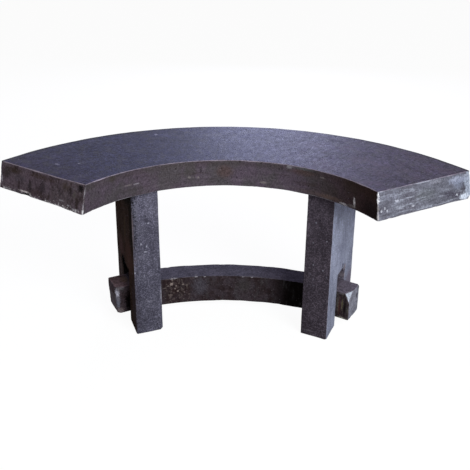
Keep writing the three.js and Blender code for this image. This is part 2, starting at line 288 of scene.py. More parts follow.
# %% Straight blocks and curved castings
def worn_block(name, lines, filled, rounds, worn_rounds, blotch, seed):
    """A straight block with worn arrises, and the points and normals that it had while sharp."""
    sharp, quads = skin_of_cells(lines, filled)
    piece = new_mesh_piece(name, sharp.tolist(), quads.tolist())
    sharp_normals = read_normals(piece.data)
    wear_arrises(piece, rounds, worn_rounds, blotch, seed)
    return piece, sharp, sharp_normals


def plain_block(lines):
    """Every cell of the grid is concrete."""
    return np.ones([len(line) - 1 for line in lines], bool)


def keep_vectors(mesh, name, values):
    attribute = mesh.attributes.new(name, "FLOAT_VECTOR", "POINT")
    attribute.data.foreach_set("vector", np.ascontiguousarray(values, np.float32).ravel())


def keep_cast_places(mesh, sharp, sharp_normals):
    """Stores place, facing and drawn-back depth of every point, all in the straight block."""
    points = read_points(mesh)
    keep_vectors(mesh, "cast_place", points)
    keep_vectors(mesh, "cast_facing", read_normals(mesh))
    drawn_back = ((sharp - points) * sharp_normals).sum(1)
    attribute = mesh.attributes.new("drawn_back", "FLOAT", "POINT")
    attribute.data.foreach_set("value", drawn_back.astype(np.float32))


def lay_on_ring(points, radius, centre_y, lift):
    """Bends a straight block round a ring. X runs along the ring, Y outwards and Z up."""
    angle = points[:, 0] / radius
    distance = radius + points[:, 1]
    x = distance * np.sin(angle)
    y = distance * np.cos(angle) + centre_y
    return np.stack([x, y, points[:, 2] + lift], 1)


def lean_with_draft(points, half_length, half_depth, height, end_draft, side_draft):
    """Leans the ends and sides of a straight block outwards towards its underside."""
    lean = 1 - points[:, 2] / height
    points[:, 0] *= 1 + lean * end_draft / half_length
    points[:, 1] *= 1 + lean * side_draft / half_depth


mould_roughness = 0.0005


def roughen(piece, size, seed):
    """Draws the skin in by a fraction of a millimetre, unevenly, as a timber mould leaves it."""
    points = read_points(piece.data)
    points -= read_normals(piece.data) * (cloud(points, size, seed) * mould_roughness)[:, None]
    points[:, 2] = np.maximum(points[:, 2], 0)
    write_points(piece.data, points)

# %% [markdown]
# ## Seat slab
#
# The seat is 65 mm thick. Its sides lean out a little towards its underside, and its ends lean
# more, which let it leave its mould. Its long top arrises are thin and sharp. The ends have had
# more knocks, mostly at their lower edges and at the upright corner on the right. The left end came
# out of the mould askew.

# %% Seat slab
seat_ring = seat_inner_radius + seat_depth / 2
seat_half = seat_ring * seat_half_angle, seat_depth / 2
seat_left, seat_right = -seat_half[0], seat_half[0]
seat_front, seat_back = -seat_half[1], seat_half[1]


def knock_seat_arrises(points, dice):
    """Rows give the two ends of an arris, the way out of it, how many knocks and how deep."""
    length, depth = seat_half
    top = seat_thickness
    for side in (-1, 1):
        x, y = side * length, side * depth
        arrises = [
            ((-length, y, top), (length, y, top), (0, side, 1), 22, (0.0004, 0.0010)),
            ((-length, y, 0), (length, y, 0), (0, side, -1), 26, (0.0005, 0.0014)),
            ((x, -depth, top), (x, depth, top), (side, 0, 1), 8, (0.0004, 0.0010)),
            ((x, -depth, 0), (x, depth, 0), (side, 0, -1), 12, (0.0006, 0.0018)),
            ((x, -depth, 0), (x, -depth, top), (side, -1, 0), 9, (0.0007, 0.0018)),
            ((x, depth, 0), (x, depth, top), (side, 1, 0), 9, (0.0007, 0.0018)),
        ]
        for arris in arrises:
            knock_along(points, *arris, dice)


twist_length, twist_depth = 0.06, 0.08
twist_in, twist_out = 0.005, 0.006


def twist_left_corner(points):
    """The left end is cast askew: in at the top of its inner corner and out at the foot."""
    near_end = np.clip(1 - (points[:, 0] - seat_left) / twist_length, 0, 1)
    near_inner = np.clip(1 - (points[:, 1] - seat_front) / twist_depth, 0, 1)
    inwards = (twist_in + twist_out) * points[:, 2] / seat_thickness - twist_out
    points[:, 0] += near_end * near_inner * inwards


# Rows give the place of a knock, the way out of it, its depth and its width.
seat_knocks = [
    ((seat_left, seat_back * 0.33, 0.0035), (-1, 0, -0.60), 0.0018, 0.022),
    ((seat_right, seat_front, seat_thickness * 0.74), (1, -1, 0), 0.0026, 0.014),
    ((seat_right, seat_front, seat_thickness * 0.50), (1, -1, 0), 0.0018, 0.011),
    ((seat_right, seat_front, seat_thickness * 0.24), (1, -1, 0), 0.0028, 0.015),
    ((seat_right, seat_front, 0), (1, -1, -1), 0.0030, 0.012),
    ((seat_right, seat_back, 0), (1, 1, -1), 0.0065, 0.026),
    ((seat_left, seat_front, 0), (-1, -1, -1), 0.0028, 0.012),
    ((seat_left, seat_front, seat_thickness), (-1, -1, 1), 0.0022, 0.012),
]


def make_seat_slab():
    lines = [
        grid_lines([seat_left, seat_right], [0.0030]),
        grid_lines([seat_front, seat_back], [0.0045]),
        grid_lines([0, seat_thickness], [0.0032]),
    ]
    piece, *sharp = worn_block(
        "seat_slab_skin", lines, plain_block(lines), rounds=4, worn_rounds=9, blotch=0.07, seed=3
    )
    worn = read_points(piece.data)
    knock_seat_arrises(worn, random.Random(11))
    for row in seat_knocks:
        knock(worn, *row)
    write_points(piece.data, worn)
    keep_cast_places(piece.data, *sharp)
    twist_left_corner(worn)
    spread = seat_ring / (seat_ring + worn[:, 1])
    lean_with_draft(worn, *seat_half, seat_thickness, seat_end_draft * spread, seat_side_draft)
    write_points(piece.data, lay_on_ring(worn, seat_ring, pit_y, seat_low.z))
    roughen(piece, size=0.05, seed=5)
    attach(piece, "root")
    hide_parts("seat_slab")
    return piece


seat_slab = make_seat_slab()
print("seat slab:", len(seat_slab.data.polygons), "faces")

# %% [markdown]
# ## Legs
#
# A leg is a slab on edge with a notch for the stretcher, open at the bottom, so that it stands on
# two feet. The grid makes the notch by leaving its cells empty, and the round hole for the mortar
# plug at the back in the same way. The stepped wall of that hole is then drawn out to its true
# circle. The walls of the notch follow the curve of the stretcher. That moves them by a millimetre
# at most, but it keeps the fit even.

# %% Legs
leg_half = leg_thickness / 2, leg_depth / 2
leg_left_face, leg_right_face = -leg_half[0], leg_half[0]
leg_front, leg_back = -leg_half[1], leg_half[1]
hole_radius = plug_radius + plug_room
hole_floor = leg_back - leg_draft - plug_recess - plug_length - plug_room
hole_step = 0.0013
curve_fade = 0.02


def midpoints(line):
    return (line[:-1] + line[1:]) / 2


def leg_cells():
    """The grid of a leg, and which of its cells are concrete."""
    stops_across = [leg_left_face, -hole_radius, hole_radius, leg_right_face]
    stops_out = [leg_front, -notch_half_depth, notch_half_depth, hole_floor, leg_back]
    stops_up = [0, plug_height - hole_radius, plug_height + hole_radius, notch_height, leg_height]
    lines = [
        grid_lines(stops_across, [0.0032, 0.0015, 0.0032]),
        grid_lines(stops_out, [0.0034, 0.0034, 0.0034, 0.0034]),
        grid_lines(stops_up, [0.0032, 0.0015, 0.0032, 0.0032]),
    ]
    x, y, z = np.meshgrid(*[midpoints(line) for line in lines], indexing="ij")
    in_notch = (np.abs(y) < notch_half_depth) & (z < notch_height)
    in_hole = (np.hypot(x, z - plug_height) < hole_radius) & (y > hole_floor)
    return lines, ~(in_notch | in_hole)


def round_the_hole(points):
    """Draws the stepped wall of the plug's hole to its circle."""
    away = points[:, [0, 2]] - (0, plug_height)
    distance = np.hypot(*away.T)
    wall = (points[:, 1] > hole_floor - 1e-6) & (np.abs(distance - hole_radius) < hole_step)
    on_circle = away[wall] * (hole_radius / distance[wall])[:, None]
    points[np.ix_(wall, [0, 2])] = (0, plug_height) + on_circle


def follow_stretcher(points):
    """Curves the walls of the notch, and less and less of the leg beyond them."""
    beyond = np.clip((np.abs(points[:, 1]) - notch_half_depth) / curve_fade, 0, 1)
    points[:, 1] -= (1 - beyond) * points[:, 0] ** 2 / (2 * base_radius)


def knock_leg_arrises(points, dice):
    width, depth = leg_half
    for x_side in (-1, 1):
        x = x_side * width
        for y_side in (-1, 1):
            foot = (x, y_side * depth, 0)
            head = (x, y_side * depth, leg_height)
            knock_along(points, foot, head, (x_side, y_side, 0), 14, (0.0004, 0.0012), dice)
            jamb = (x, y_side * notch_half_depth, 0)
            knock_along(points, foot, jamb, (x_side, 0, -1), 3, (0.0006, 0.0016), dice)
        corners = (x, -notch_half_depth, notch_height), (x, notch_half_depth, notch_height)
        knock_along(points, *corners, (x_side, 0, -1), 2, (0.0006, 0.0014), dice)


def to_leg_place(turn):
    """Stands a straight leg block, drawn on the middle plane, at its place on the base ring."""
    out_to_ring = Matrix.Translation((0, base_radius, 0))
    ring_middle = Matrix.Translation((0, base_y, 0))
    return ring_middle @ Matrix.Rotation(turn, 4, "Z") @ out_to_ring


def make_leg(side, turn, seed, corner_knocks):
    piece, *sharp = worn_block(
        f"leg_{side}_skin", *leg_cells(), rounds=4, worn_rounds=9, blotch=0.05, seed=seed
    )
    worn = read_points(piece.data)
    round_the_hole(worn)
    knock_leg_arrises(worn, random.Random(seed))
    for row in corner_knocks:
        knock(worn, *row, seed)
    write_points(piece.data, worn)
    keep_cast_places(piece.data, *sharp)
    follow_stretcher(worn)
    lean_with_draft(worn, *leg_half, leg_height, leg_draft, leg_draft)
    # The size of a leg is that of its feet, so the draft only makes it smaller towards its top.
    worn[:, :2] *= 1 - leg_draft / np.array(leg_half)
    write_points(piece.data, worn)
    piece.data.transform(to_leg_place(turn))
    roughen(piece, size=0.04, seed=seed + 1)
    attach(piece, "root")
    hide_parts(f"leg_{side}")
    return piece


left_knocks = [
    ((leg_right_face, leg_front, 0), (1, -1, -1), 0.0045, 0.016),
    ((leg_left_face, leg_front, 0), (-1, -1, -1), 0.0022, 0.010),
    ((leg_left_face, notch_half_depth, notch_height), (-1, -1, -1), 0.0080, 0.028),
]
right_knocks = [
    ((leg_right_face, notch_half_depth, notch_height - 0.004), (1, -1, -1), 0.0050, 0.020),
    ((leg_right_face, leg_front, 0), (1, -1, -1), 0.0030, 0.012),
    ((leg_right_face, leg_back, leg_height * 0.42), (1, 1, 0), 0.0018, 0.020),
]
leg_left = make_leg("left", leg_angle, 21, left_knocks)
leg_right = make_leg("right", -leg_angle, 37, right_knocks)
print("legs:", len(leg_left.data.polygons), "faces each")

# %% [markdown]
# ## Stretcher
#
# The stretcher is a low curved rail. Its two ends stand out of the legs as short tongues, and these
# have taken the most knocks: the left one is rounded off at its upright corner and drawn in at its
# foot, and the right one has lost a flat flake from its upper corner.

# %% Stretcher
rail_half = base_radius * rail_half_angle, rail_depth / 2
rail_left, rail_right = -rail_half[0], rail_half[0]
rail_front, rail_rear = -rail_half[1], rail_half[1]


def knock_rail_arrises(points, dice):
    length, depth = rail_half
    for side in (-1, 1):
        x, y = side * length, side * depth
        for z, up in ((0, -1), (rail_height, 1)):
            long_arris = (-length, y, z), (length, y, z)
            end_arris = (x, -depth, z), (x, depth, z)
            knock_along(points, *long_arris, (0, side, up), 20, (0.0006, 0.0018), dice)
            knock_along(points, *end_arris, (side, 0, up), 4, (0.0008, 0.0022), dice)


def make_stretcher():
    lines = [
        grid_lines([rail_left, rail_right], [0.0028]),
        grid_lines([rail_front, rail_rear], [0.0030]),
        grid_lines([0, rail_height], [0.0030]),
    ]
    piece, *sharp = worn_block(
        "stretcher_skin", lines, plain_block(lines), rounds=6, worn_rounds=16, blotch=0.05, seed=8
    )
    worn = read_points(piece.data)
    knock_rail_arrises(worn, random.Random(52))
    round_off(worn, (rail_left, rail_front), (-1, -1), 0.014)
    flake_off(worn, (rail_left, 0, 0), (-1, 0, -1), (0.004, 1.0, 0.060), 3)
    flake_off(worn, (rail_left, rail_front, 0), (-1, -1, -1), (0.012, 0.012, 0.016), 4)
    knock(worn, (rail_left + 0.012, rail_front, rail_height), (0, -1, 1), 0.0045, 0.034, 6)
    flake_off(worn, (rail_right, rail_front, rail_height), (1, -1, 1), (0.015, 0.030, 0.028), 5)
    knock(worn, (rail_right, rail_front, 0), (1, -1, -1), 0.0020, 0.008, 7)
    knock(worn, (rail_right, rail_rear, rail_height), (1, 1, 1), 0.0035, 0.016, 8)
    write_points(piece.data, worn)
    keep_cast_places(piece.data, *sharp)
    write_points(piece.data, lay_on_ring(worn, base_radius, base_y, rail_bottom))
    roughen(piece, size=0.04, seed=9)
    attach(piece, "root")
    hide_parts("stretcher")
    return piece


stretcher = make_stretcher()
print("stretcher:", len(stretcher.data.polygons), "faces")

# %% [markdown]
# ## Mortar plugs
#
# A pin runs from the back of each leg into the stretcher, and a plug of mortar closes its hole. The
# plug is pushed in by hand and struck off just below the face, so its rim is ragged and its face a
# little domed.

# %% Mortar plugs
plug_sides = 40
plug_profile = [
    (0.30, 0.00), (0.90, 0.00), (0.99, 0.05), (1.00, 0.20), (1.00, 0.50), (1.00, 0.80),
    (0.98, 0.92), (0.92, 0.97), (0.80, 0.99), (0.60, 1.00), (0.40, 1.00), (0.20, 1.00),
]
plug_ragged = 0.03
plug_dimple = 0.0003


def make_plug(side, turn, seed):
    """Rings of points along the plug, closed by a fan at each end."""
    start = hole_floor + plug_room
    points = []
    for radius_share, length_share in plug_profile:
        for step in range(plug_sides):
            angle = 2 * math.pi * step / plug_sides
            across, upward = math.cos(angle), math.sin(angle)
            ragged = noise.noise(Vector((across * 3, upward * 3, seed + length_share * 4)))
            radius = plug_radius * radius_share * (1 - plug_ragged + plug_ragged * ragged)
            dimple = noise.noise(Vector((radius * 400, angle, seed))) * plug_dimple * length_share
            y = start + plug_length * length_share - abs(dimple)
            points.append((radius * across, y, plug_height + radius * upward))
    rings = len(plug_profile)
    faces = []
    for ring in range(rings - 1):
        for step in range(plug_sides):
            after = (step + 1) % plug_sides
            near, far = ring * plug_sides, (ring + 1) * plug_sides
            faces.append((near + step, far + step, far + after, near + after))
    inner_end, outer_end = len(points), len(points) + 1
    points.append((0, start, plug_height))
    points.append((0, start + plug_length, plug_height))
    last = (rings - 1) * plug_sides
    for step in range(plug_sides):
        after = (step + 1) % plug_sides
        faces.append((inner_end, step, after))
        faces.append((outer_end, last + after, last + step))
    piece = new_mesh_piece(f"pin_plug_{side}_skin", points, faces)
    piece.data.transform(to_leg_place(turn))
    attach(piece, "root")
    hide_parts(f"pin_plug_{side}")
    return piece


plugs = [make_plug("left", leg_angle, 2), make_plug("right", -leg_angle, 9)]
print("plugs:", [piece.name for piece in plugs])

# %% [markdown]
# ## Shader sums
#
# A finish is a web of shader nodes. Written node by node, even a simple mask takes a page. The
# small class below wraps one output socket, so that masks can be added, multiplied and turned round
# like numbers. Every other node comes from one method that takes its type, its settings and its
# inputs.

# %% Shader sums
class Wire:
    """One output socket of a shader node, for use in sums."""

    def __init__(self, finish, socket):
        self.finish = finish
        self.socket = socket

    def sum(self, operation, first, second):
        return self.finish.node("ShaderNodeMath", {"operation": operation}, {0: first, 1: second})

    def other(self, output):
        """Another output of the same node."""
        return Wire(self.finish, self.socket.node.outputs[output])

    def __add__(self, other):
        return self.sum("ADD", self, other)

    def __radd__(self, other):
        return self.sum("ADD", other, self)

    def __sub__(self, other):
        return self.sum("SUBTRACT", self, other)

    def __rsub__(self, other):
        return self.sum("SUBTRACT", other, self)

    def __mul__(self, other):
        return self.sum("MULTIPLY", self, other)

    def __rmul__(self, other):
        return self.sum("MULTIPLY", other, self)

    def __truediv__(self, other):
        return self.sum("DIVIDE", self, other)


class Finish:
    """A material under construction, or the world."""

    def __init__(self, name, family="materials", output="ShaderNodeOutputMaterial"):
        self.result = getattr(bpy.data, family).new(name)
        self.result.use_nodes = True
        self.tree = self.result.node_tree
        self.tree.nodes.clear()
        self.output = self.tree.nodes.new(output)

    def node(self, kind, settings=None, inputs=None, output=0):
        """Adds one node. Its settings come first, then the values or wires of its sockets."""
        made = self.tree.nodes.new(kind)
        for name, value in (settings or {}).items():
            setattr(made, name, value)
        for name, value in (inputs or {}).items():
            if isinstance(value, Wire):
                self.tree.links.new(value.socket, made.inputs[name])
            else:
                made.inputs[name].default_value = value
        return Wire(self, made.outputs[output])

    def attribute(self, name, output="Vector"):
        return self.node("ShaderNodeAttribute", {"attribute_name": name}, output=output)

    def parts(self, vector):
        """The X, Y and Z of a vector."""
        x = self.node("ShaderNodeSeparateXYZ", None, {0: vector})
        return x, x.other("Y"), x.other("Z")

    def scaled(self, place, scale):
        """The same places, stretched by a scale along each axis."""
        return self.node("ShaderNodeVectorMath", {"operation": "MULTIPLY"}, {0: place, 1: scale})

    def clouds(self, place, size, detail=3.0, rough=0.55):
        """Soft noise from 0 to 1, with blotches of about the given size in metres."""
        inputs = {"Vector": place, "Scale": 1 / size, "Detail": detail, "Roughness": rough}
        return self.node("ShaderNodeTexNoise", None, inputs)

    def cells(self, place, size):
        """Grains of a given size: the way to the nearest middle, and two random values of it."""
        inputs = {"Vector": place, "Scale": 1 / size, "Randomness": 1.0}
        distance = self.node("ShaderNodeTexVoronoi", {"feature": "F1"}, inputs, output="Distance")
        shade = {"Color": distance.other("Color")}
        red = self.node("ShaderNodeSeparateColor", None, shade, output="Red")
        return distance, red, red.other("Green")

    def grains(self, place, size):
        """Grains of a given size, each with a random value of its own from 0 to 1."""
        return self.cells(place, size)[1]

    def band(self, value, low, high):
        """Rises smoothly from 0 at low to 1 at high, or falls if the two are swapped."""
        if low > high:
            return 1 - self.band(value, high, low)
        settings = {"interpolation_type": "SMOOTHSTEP"}
        inputs = {"Value": value, "From Min": low, "From Max": high}
        return self.node("ShaderNodeMapRange", settings, inputs)

    def blend(self, factor, first, second):
        """One colour over another."""
        inputs = {0: factor, 6: first, 7: second}
        return self.node("ShaderNodeMix", {"data_type": "RGBA"}, inputs, output=2)

    def lit(self, colour, amount):
        """The same colour, lighter or darker by a factor that may vary."""
        inputs = {0: colour, "Scale": amount}
        return self.node("ShaderNodeVectorMath", {"operation": "SCALE"}, inputs)

    def flecks(self, place, size, share):
        """Round flecks. A cell of the given size holds one if its chance falls in the share."""
        distance, chance, girth = self.cells(place, size)
        inside = self.band(distance / (girth * 0.28 + 0.10), 1.0, 0.5)
        return inside * self.band(chance, share, share - 0.02)

    def spot(self, place, at, size, ragged):
        """One mark with a half size along each axis and a ragged rim."""
        minus = self.node("ShaderNodeVectorMath", {"operation": "SUBTRACT"}, {0: place, 1: at})
        inputs = {0: self.scaled(minus, [1 / half for half in size])}
        reached = self.node("ShaderNodeVectorMath", {"operation": "LENGTH"}, inputs, output="Value")
        return self.band(reached + ragged, 1.05, 0.40)

    def marked(self, place, colour, marks):
        """Lays marks over a colour. Each has a place, a half size, a tone and a strength."""
        ragged = self.clouds(place, 0.0035, detail=5.0, rough=0.7) * 2.4 - 1.2
        for at, size, mark_tone, strength in marks:
            colour = self.blend(self.spot(place, at, size, ragged) * strength, colour, mark_tone)
        return colour

    def bump(self, height, depth, under=None):
        """Raises the surface by a height from 0 to 1, times a depth in metres."""
        inputs = {"Height": height, "Distance": depth, "Strength": 1.0}
        if under is not None:
            inputs["Normal"] = under
        return self.node("ShaderNodeBump", None, inputs)

    def shaded_by(self, shader):
        """Ends the web with a shader, and gives back what was made."""
        self.tree.links.new(shader.socket, self.output.inputs["Surface"])
        return self.result

    def close(self, **inputs):
        """Ends the web with a Principled shader, whose sockets are named with _ for each space."""
        named = {name.replace("_", " "): value for name, value in inputs.items()}
        return self.shaded_by(self.node("ShaderNodeBsdfPrincipled", None, named))


def tone(red, green, blue):
    """A colour as it is read off a screen, from 0 to 255, as the light that it stands for."""
    def light(value):
        share = value / 255
        return share / 12.92 if share <= 0.04045 else ((share + 0.055) / 1.055) ** 2.4
    return (light(red), light(green), light(blue), 1.0)

# %% [markdown]
# ## Cast concrete
#
# All four castings came from one mix, coloured charcoal, so they share one recipe: slow clouds of
# two tones, then the marks, the fine speckle of the sand, pale flecks of bare aggregate, dark air
# holes, and the pale lime that shows wherever an arris was rubbed. Each casting has its own tones
# and marks. A bitmap would be quicker, but it would not follow the curve, and it would go soft when
# seen from close by.
#
# A mark is a stain, scuff or chip of its own, or a patch of painted light or shade. It has a place
# and a half size along all three axes, a tone and a strength. Most marks lie on one flat face. Their
# rows leave out the third axis, and one helper adds it.

# %% Concrete recipe
sand_grain = 0.0028
sand_lump = 0.0060
mark_reach = 0.02
x_axis, y_axis, z_axis = range(3)
nick_level = 0.50
nick_spread = 0.22


def marks_on(axis, level, rows):
    """Marks on the flat face that an axis crosses at a level. Each reaches a little through it."""
    marks = []
    for at, size, mark_tone, strength in rows:
        at = at[:axis] + (level,) + at[axis:]
        size = size[:axis] + (mark_reach,) + size[axis:]
        marks.append((at, size, mark_tone, strength))
    return marks


def cast_skin(finish):
    """What the skin of a casting keeps: its straight places, and the way that it looks."""
    skin = SimpleNamespace(place=finish.attribute("cast_place"))
    skin.along, skin.outward, skin.height = finish.parts(skin.place)
    skin.look_along, skin.look_out, skin.look_up = finish.parts(finish.attribute("cast_facing"))
    return skin


def sand(finish, place, fine, coarse):
    """Light and dark grains about a middle of 1. The shares say how strongly each size shows."""
    grains = (finish.grains(place, sand_grain) - 0.5) * fine
    lumps = (finish.clouds(place, sand_lump, detail=3.0, rough=0.7) - 0.5) * coarse
    return grains + lumps + 1.0


def rubbed_arris(finish, place, least, most, gaps=0.0):
    """Where the skin has been drawn back, broken up so that it does not run as one line."""
    drawn_back = finish.attribute("drawn_back", "Fac")
    broken = finish.clouds(place, 0.018, detail=5.0, rough=0.65)
    return finish.band(drawn_back, least, most) * finish.band(broken, 0.30 + gaps, 0.48 + gaps)


def nicks(finish, place, from_edge, reach):
    """Small pale nicks along an edge. The largest ones run in from it by the reach."""
    size = finish.clouds(place, 0.0070, detail=4.0, rough=0.7)
    return finish.band(size - from_edge * (nick_spread / reach), nick_level, nick_level + 0.07)


def fresh_break(finish):
    """Where a flake has come away."""
    return finish.band(finish.attribute("drawn_back", "Fac"), 0.0020, 0.0028)

# %% [markdown]
# ## Marks on the seat
#
# A few marks make this seat the one in the photograph: the pale scar over the chip in its left end,
# the white corner on the right, the scuffs and stains along its inner face. Two of them are painted
# shade: the black in the hollow of that chip, and the dark patch low in the inner corner at the
# right end. No noise would put them there, so they are laid one by one, in the straight places of
# the block. X runs along the seat, Y outwards and Z up.

# %% Marks on the seat
pale = tone(204, 199, 206)
scuff = tone(132, 124, 122)
dark_stain_and_shade = tone(22, 18, 18)
brown = tone(92, 64, 54)
olive = tone(56, 50, 40)

inner_marks = marks_on(y_axis, seat_front, [
    ((-0.028, 0.036), (0.034, 0.020), brown, 0.40),
    ((0.230, 0.052), (0.050, 0.010), brown, 0.30),
    ((-0.106, 0.041), (0.004, 0.010), dark_stain_and_shade, 0.55),
    ((-0.140, 0.040), (0.030, 0.012), tone(70, 66, 62), 0.45),
    ((-0.144, 0.025), (0.007, 0.0040), scuff, 0.60),
    ((-0.130, 0.024), (0.003, 0.0030), scuff, 0.55),
    ((-0.114, 0.023), (0.004, 0.0045), scuff, 0.60),
    ((-0.350, 0.0305), (0.016, 0.0020), scuff, 0.50),
    ((-0.322, 0.0295), (0.012, 0.0022), pale, 0.32),
    ((0.280, 0.008), (0.080, 0.0090), tone(92, 78, 74), 0.45),
    ((0.098, 0.013), (0.014, 0.0035), scuff, 0.75),
    ((0.186, 0.060), (0.012, 0.0050), tone(150, 148, 152), 0.60),
    ((0.235, 0.061), (0.045, 0.0040), tone(96, 98, 100), 0.55),
    ((0.300, 0.050), (0.014, 0.0025), scuff, 0.55),
    ((-0.410, 0.056), (0.016, 0.010), olive, 0.50),
    ((0.419, 0.017), (0.0050, 0.0130), tone(226, 220, 222), 0.80),
    ((0.410, 0.006), (0.020, 0.005), scuff, 0.50),
    ((0.376, 0.004), (0.020, 0.0034), pale, 0.60),
    ((0.330, 0.008), (0.050, 0.0070), tone(112, 92, 84), 0.40),
    # Painted shade low in the inner corner at the right end.
    ((0.490, 0.014), (0.050, 0.030), dark_stain_and_shade, 0.70),
])
left_end_marks = marks_on(x_axis, seat_left, [
    ((0.050, 0.0092), (0.021, 0.0028), tone(250, 238, 238), 1.0),
    ((0.090, 0.052), (0.034, 0.010), tone(62, 50, 40), 0.65),
    ((0.000, 0.054), (0.050, 0.008), tone(66, 52, 42), 0.60),
    ((-0.080, 0.048), (0.018, 0.012), tone(70, 58, 46), 0.55),
    ((0.010, 0.014), (0.050, 0.010), tone(60, 46, 42), 0.50),
    ((0.034, 0.024), (0.008, 0.016), dark_stain_and_shade, 0.60),
    ((-0.006, 0.030), (0.012, 0.020), dark_stain_and_shade, 0.60),
    ((-0.062, 0.036), (0.005, 0.026), dark_stain_and_shade, 0.40),
    ((-0.095, 0.040), (0.010, 0.014), dark_stain_and_shade, 0.45),
    ((-0.116, 0.022), (0.008, 0.020), tone(44, 34, 28), 0.80),
    ((-0.106, 0.036), (0.006, 0.009), tone(96, 90, 84), 0.60),
    ((-0.124, 0.054), (0.011, 0.010), tone(14, 12, 12), 0.90),
    ((-0.112, 0.006), (0.012, 0.003), pale, 0.60),
    ((-0.090, 0.010), (0.006, 0.003), pale, 0.60),
    ((-0.068, 0.016), (0.010, 0.002), pale, 0.55),
    ((0.131, 0.024), (0.005, 0.012), pale, 0.60),
    ((0.110, 0.004), (0.014, 0.003), pale, 0.50),
    ((0.118, 0.040), (0.020, 0.016), tone(46, 36, 30), 0.60),
    ((0.070, 0.036), (0.028, 0.010), tone(92, 82, 92), 0.50),
])
corner_marks = [
    # Painted shade: black in the hollow of the chip at the foot of the left end.
    ((seat_left, 0.0455, 0.0010), (mark_reach, 0.0180, 0.0088), tone(4, 4, 4), 1.0),
    ((seat_left, seat_front, 0.0050), (0.0044, 0.0040, 0.0120), tone(246, 244, 246), 0.90),
    ((seat_left, seat_front, 0.0300), (0.0040, 0.0036, 0.0080), tone(84, 72, 74), 0.60),
    ((seat_left, seat_front, 0.0620), (0.0050, 0.0050, 0.0050), tone(30, 26, 28), 0.70),
    ((seat_right, seat_front, 0.0575), (0.0050, 0.0050, 0.0055), tone(252, 252, 254), 0.95),
    ((seat_right, seat_front, 0.0440), (0.0052, 0.0052, 0.0065), tone(252, 252, 254), 0.95),
    ((seat_right, seat_front, 0.0280), (0.0060, 0.0060, 0.0090), tone(132, 126, 122), 0.70),
    ((seat_right, seat_front, 0.0080), (0.0070, 0.0070, 0.0080), tone(206, 202, 200), 0.60),
]
top_marks = marks_on(z_axis, seat_thickness, [
    ((-0.461, 0.014), (0.0035, 0.0090), tone(140, 138, 160), 0.80),
    ((-0.424, -0.020), (0.0035, 0.0050), tone(140, 138, 160), 0.70),
    ((-0.470, -0.110), (0.026, 0.014), tone(48, 46, 64), 0.45),
    ((0.194, -0.047), (0.006, 0.009), dark_stain_and_shade, 0.60),
    ((-0.186, 0.090), (0.0045, 0.0080), tone(160, 160, 184), 0.80),
    ((0.045, -0.002), (0.0040, 0.0070), dark_stain_and_shade, 0.45),
    ((-0.205, -0.050), (0.0040, 0.0060), dark_stain_and_shade, 0.45),
    ((0.159, 0.030), (0.014, 0.016), tone(104, 102, 122), 0.40),
    ((0.300, 0.030), (0.040, 0.030), tone(44, 40, 50), 0.25),
])
right_end_marks = marks_on(x_axis, seat_right, [
    ((0.000, 0.034), (0.036, 0.018), tone(84, 88, 88), 0.45),
    ((0.098, 0.050), (0.034, 0.012), tone(158, 164, 186), 0.60),
    ((0.070, 0.022), (0.022, 0.009), tone(54, 48, 62), 0.60),
    ((0.094, 0.016), (0.014, 0.007), tone(50, 44, 60), 0.65),
    ((0.100, 0.038), (0.018, 0.012), tone(116, 122, 140), 0.50),
    ((0.116, 0.008), (0.018, 0.010), tone(218, 226, 240), 0.80),
    ((0.030, 0.058), (0.026, 0.006), tone(150, 150, 162), 0.45),
    ((-0.100, 0.048), (0.030, 0.010), tone(140, 142, 158), 0.35),
    ((-0.126, 0.021), (0.0030, 0.0040), tone(226, 228, 238), 0.60),
    ((-0.117, 0.025), (0.0026, 0.0040), tone(226, 228, 238), 0.50),
    ((-0.110, 0.019), (0.0034, 0.0040), tone(216, 218, 230), 0.50),
    ((-0.083, 0.036), (0.0070, 0.0030), tone(216, 218, 230), 0.50),
    ((-0.038, 0.016), (0.0060, 0.0035), tone(216, 218, 230), 0.50),
    ((0.094, 0.016), (0.0045, 0.0030), tone(226, 230, 240), 0.60),
    ((-0.135, 0.054), (0.0040, 0.0110), tone(236, 236, 242), 0.90),
])

# %% [markdown]
# ## Tones of the seat
#
# The top was trowelled smooth and sealed, so it is bluer than the sides. The sides still carry the
# brown of the mould and long faint smears, and the left end is mottled like a fresh face of
# concrete. Towards its right end the inner face is painted darker and browner as shade. The right
# end has a pale lime bloom, wiped along the end in streaks. Each of these is a web of its own,
# mostly clouds that are stretched the way the streaks run.

# %% Tones of the seat
def seat_top_tones(finish, seat):
    place, along = seat.place, seat.along
    slow = finish.clouds(place, 0.11, detail=4.0)
    trowel = finish.clouds(finish.scaled(place, (0.35, 1.0, 1.0)), 0.03, detail=5.0, rough=0.6)
    speckle = finish.clouds(place, 0.0065, detail=3.0, rough=0.8)
    grains = finish.grains(place, 0.0045)
    colour = finish.blend(finish.band(along, -0.1, 0.45), tone(56, 56, 83), tone(69, 62, 83))
    colour = finish.blend(finish.band(along, -0.36, -0.52), colour, tone(56, 52, 78))
    colour = finish.lit(colour, finish.band(slow, 0.25, 0.75) * 0.35 + 0.82)
    colour = finish.lit(colour, (trowel - 0.5) * 0.9 + 1.0)
    colour = finish.lit(colour, (speckle - 0.5) * 1.3 + (grains - 0.5) * 0.9 + 1.0)
    blots = finish.clouds(finish.scaled(place, (1.0, 0.45, 1.0)), 0.0100, detail=3.0, rough=0.7)
    colour = finish.lit(colour, (blots - 0.5) * (finish.band(along, -0.1, 0.3) * 0.9 + 0.6) + 1.0)
    ruddy = finish.band(finish.clouds(place, 0.040, detail=4.0, rough=0.6), 0.48, 0.62)
    colour = finish.blend(ruddy * finish.band(along, 0.05, 0.30) * 0.45, colour, tone(80, 67, 86))
    greyer = finish.clouds(finish.scaled(place, (1.0, 0.6, 1.0)), 0.022, detail=4.0, rough=0.6)
    colour = finish.blend(finish.band(greyer, 0.48, 0.66) * 0.40, colour, tone(76, 74, 82))
    return finish.marked(place, colour, top_marks)


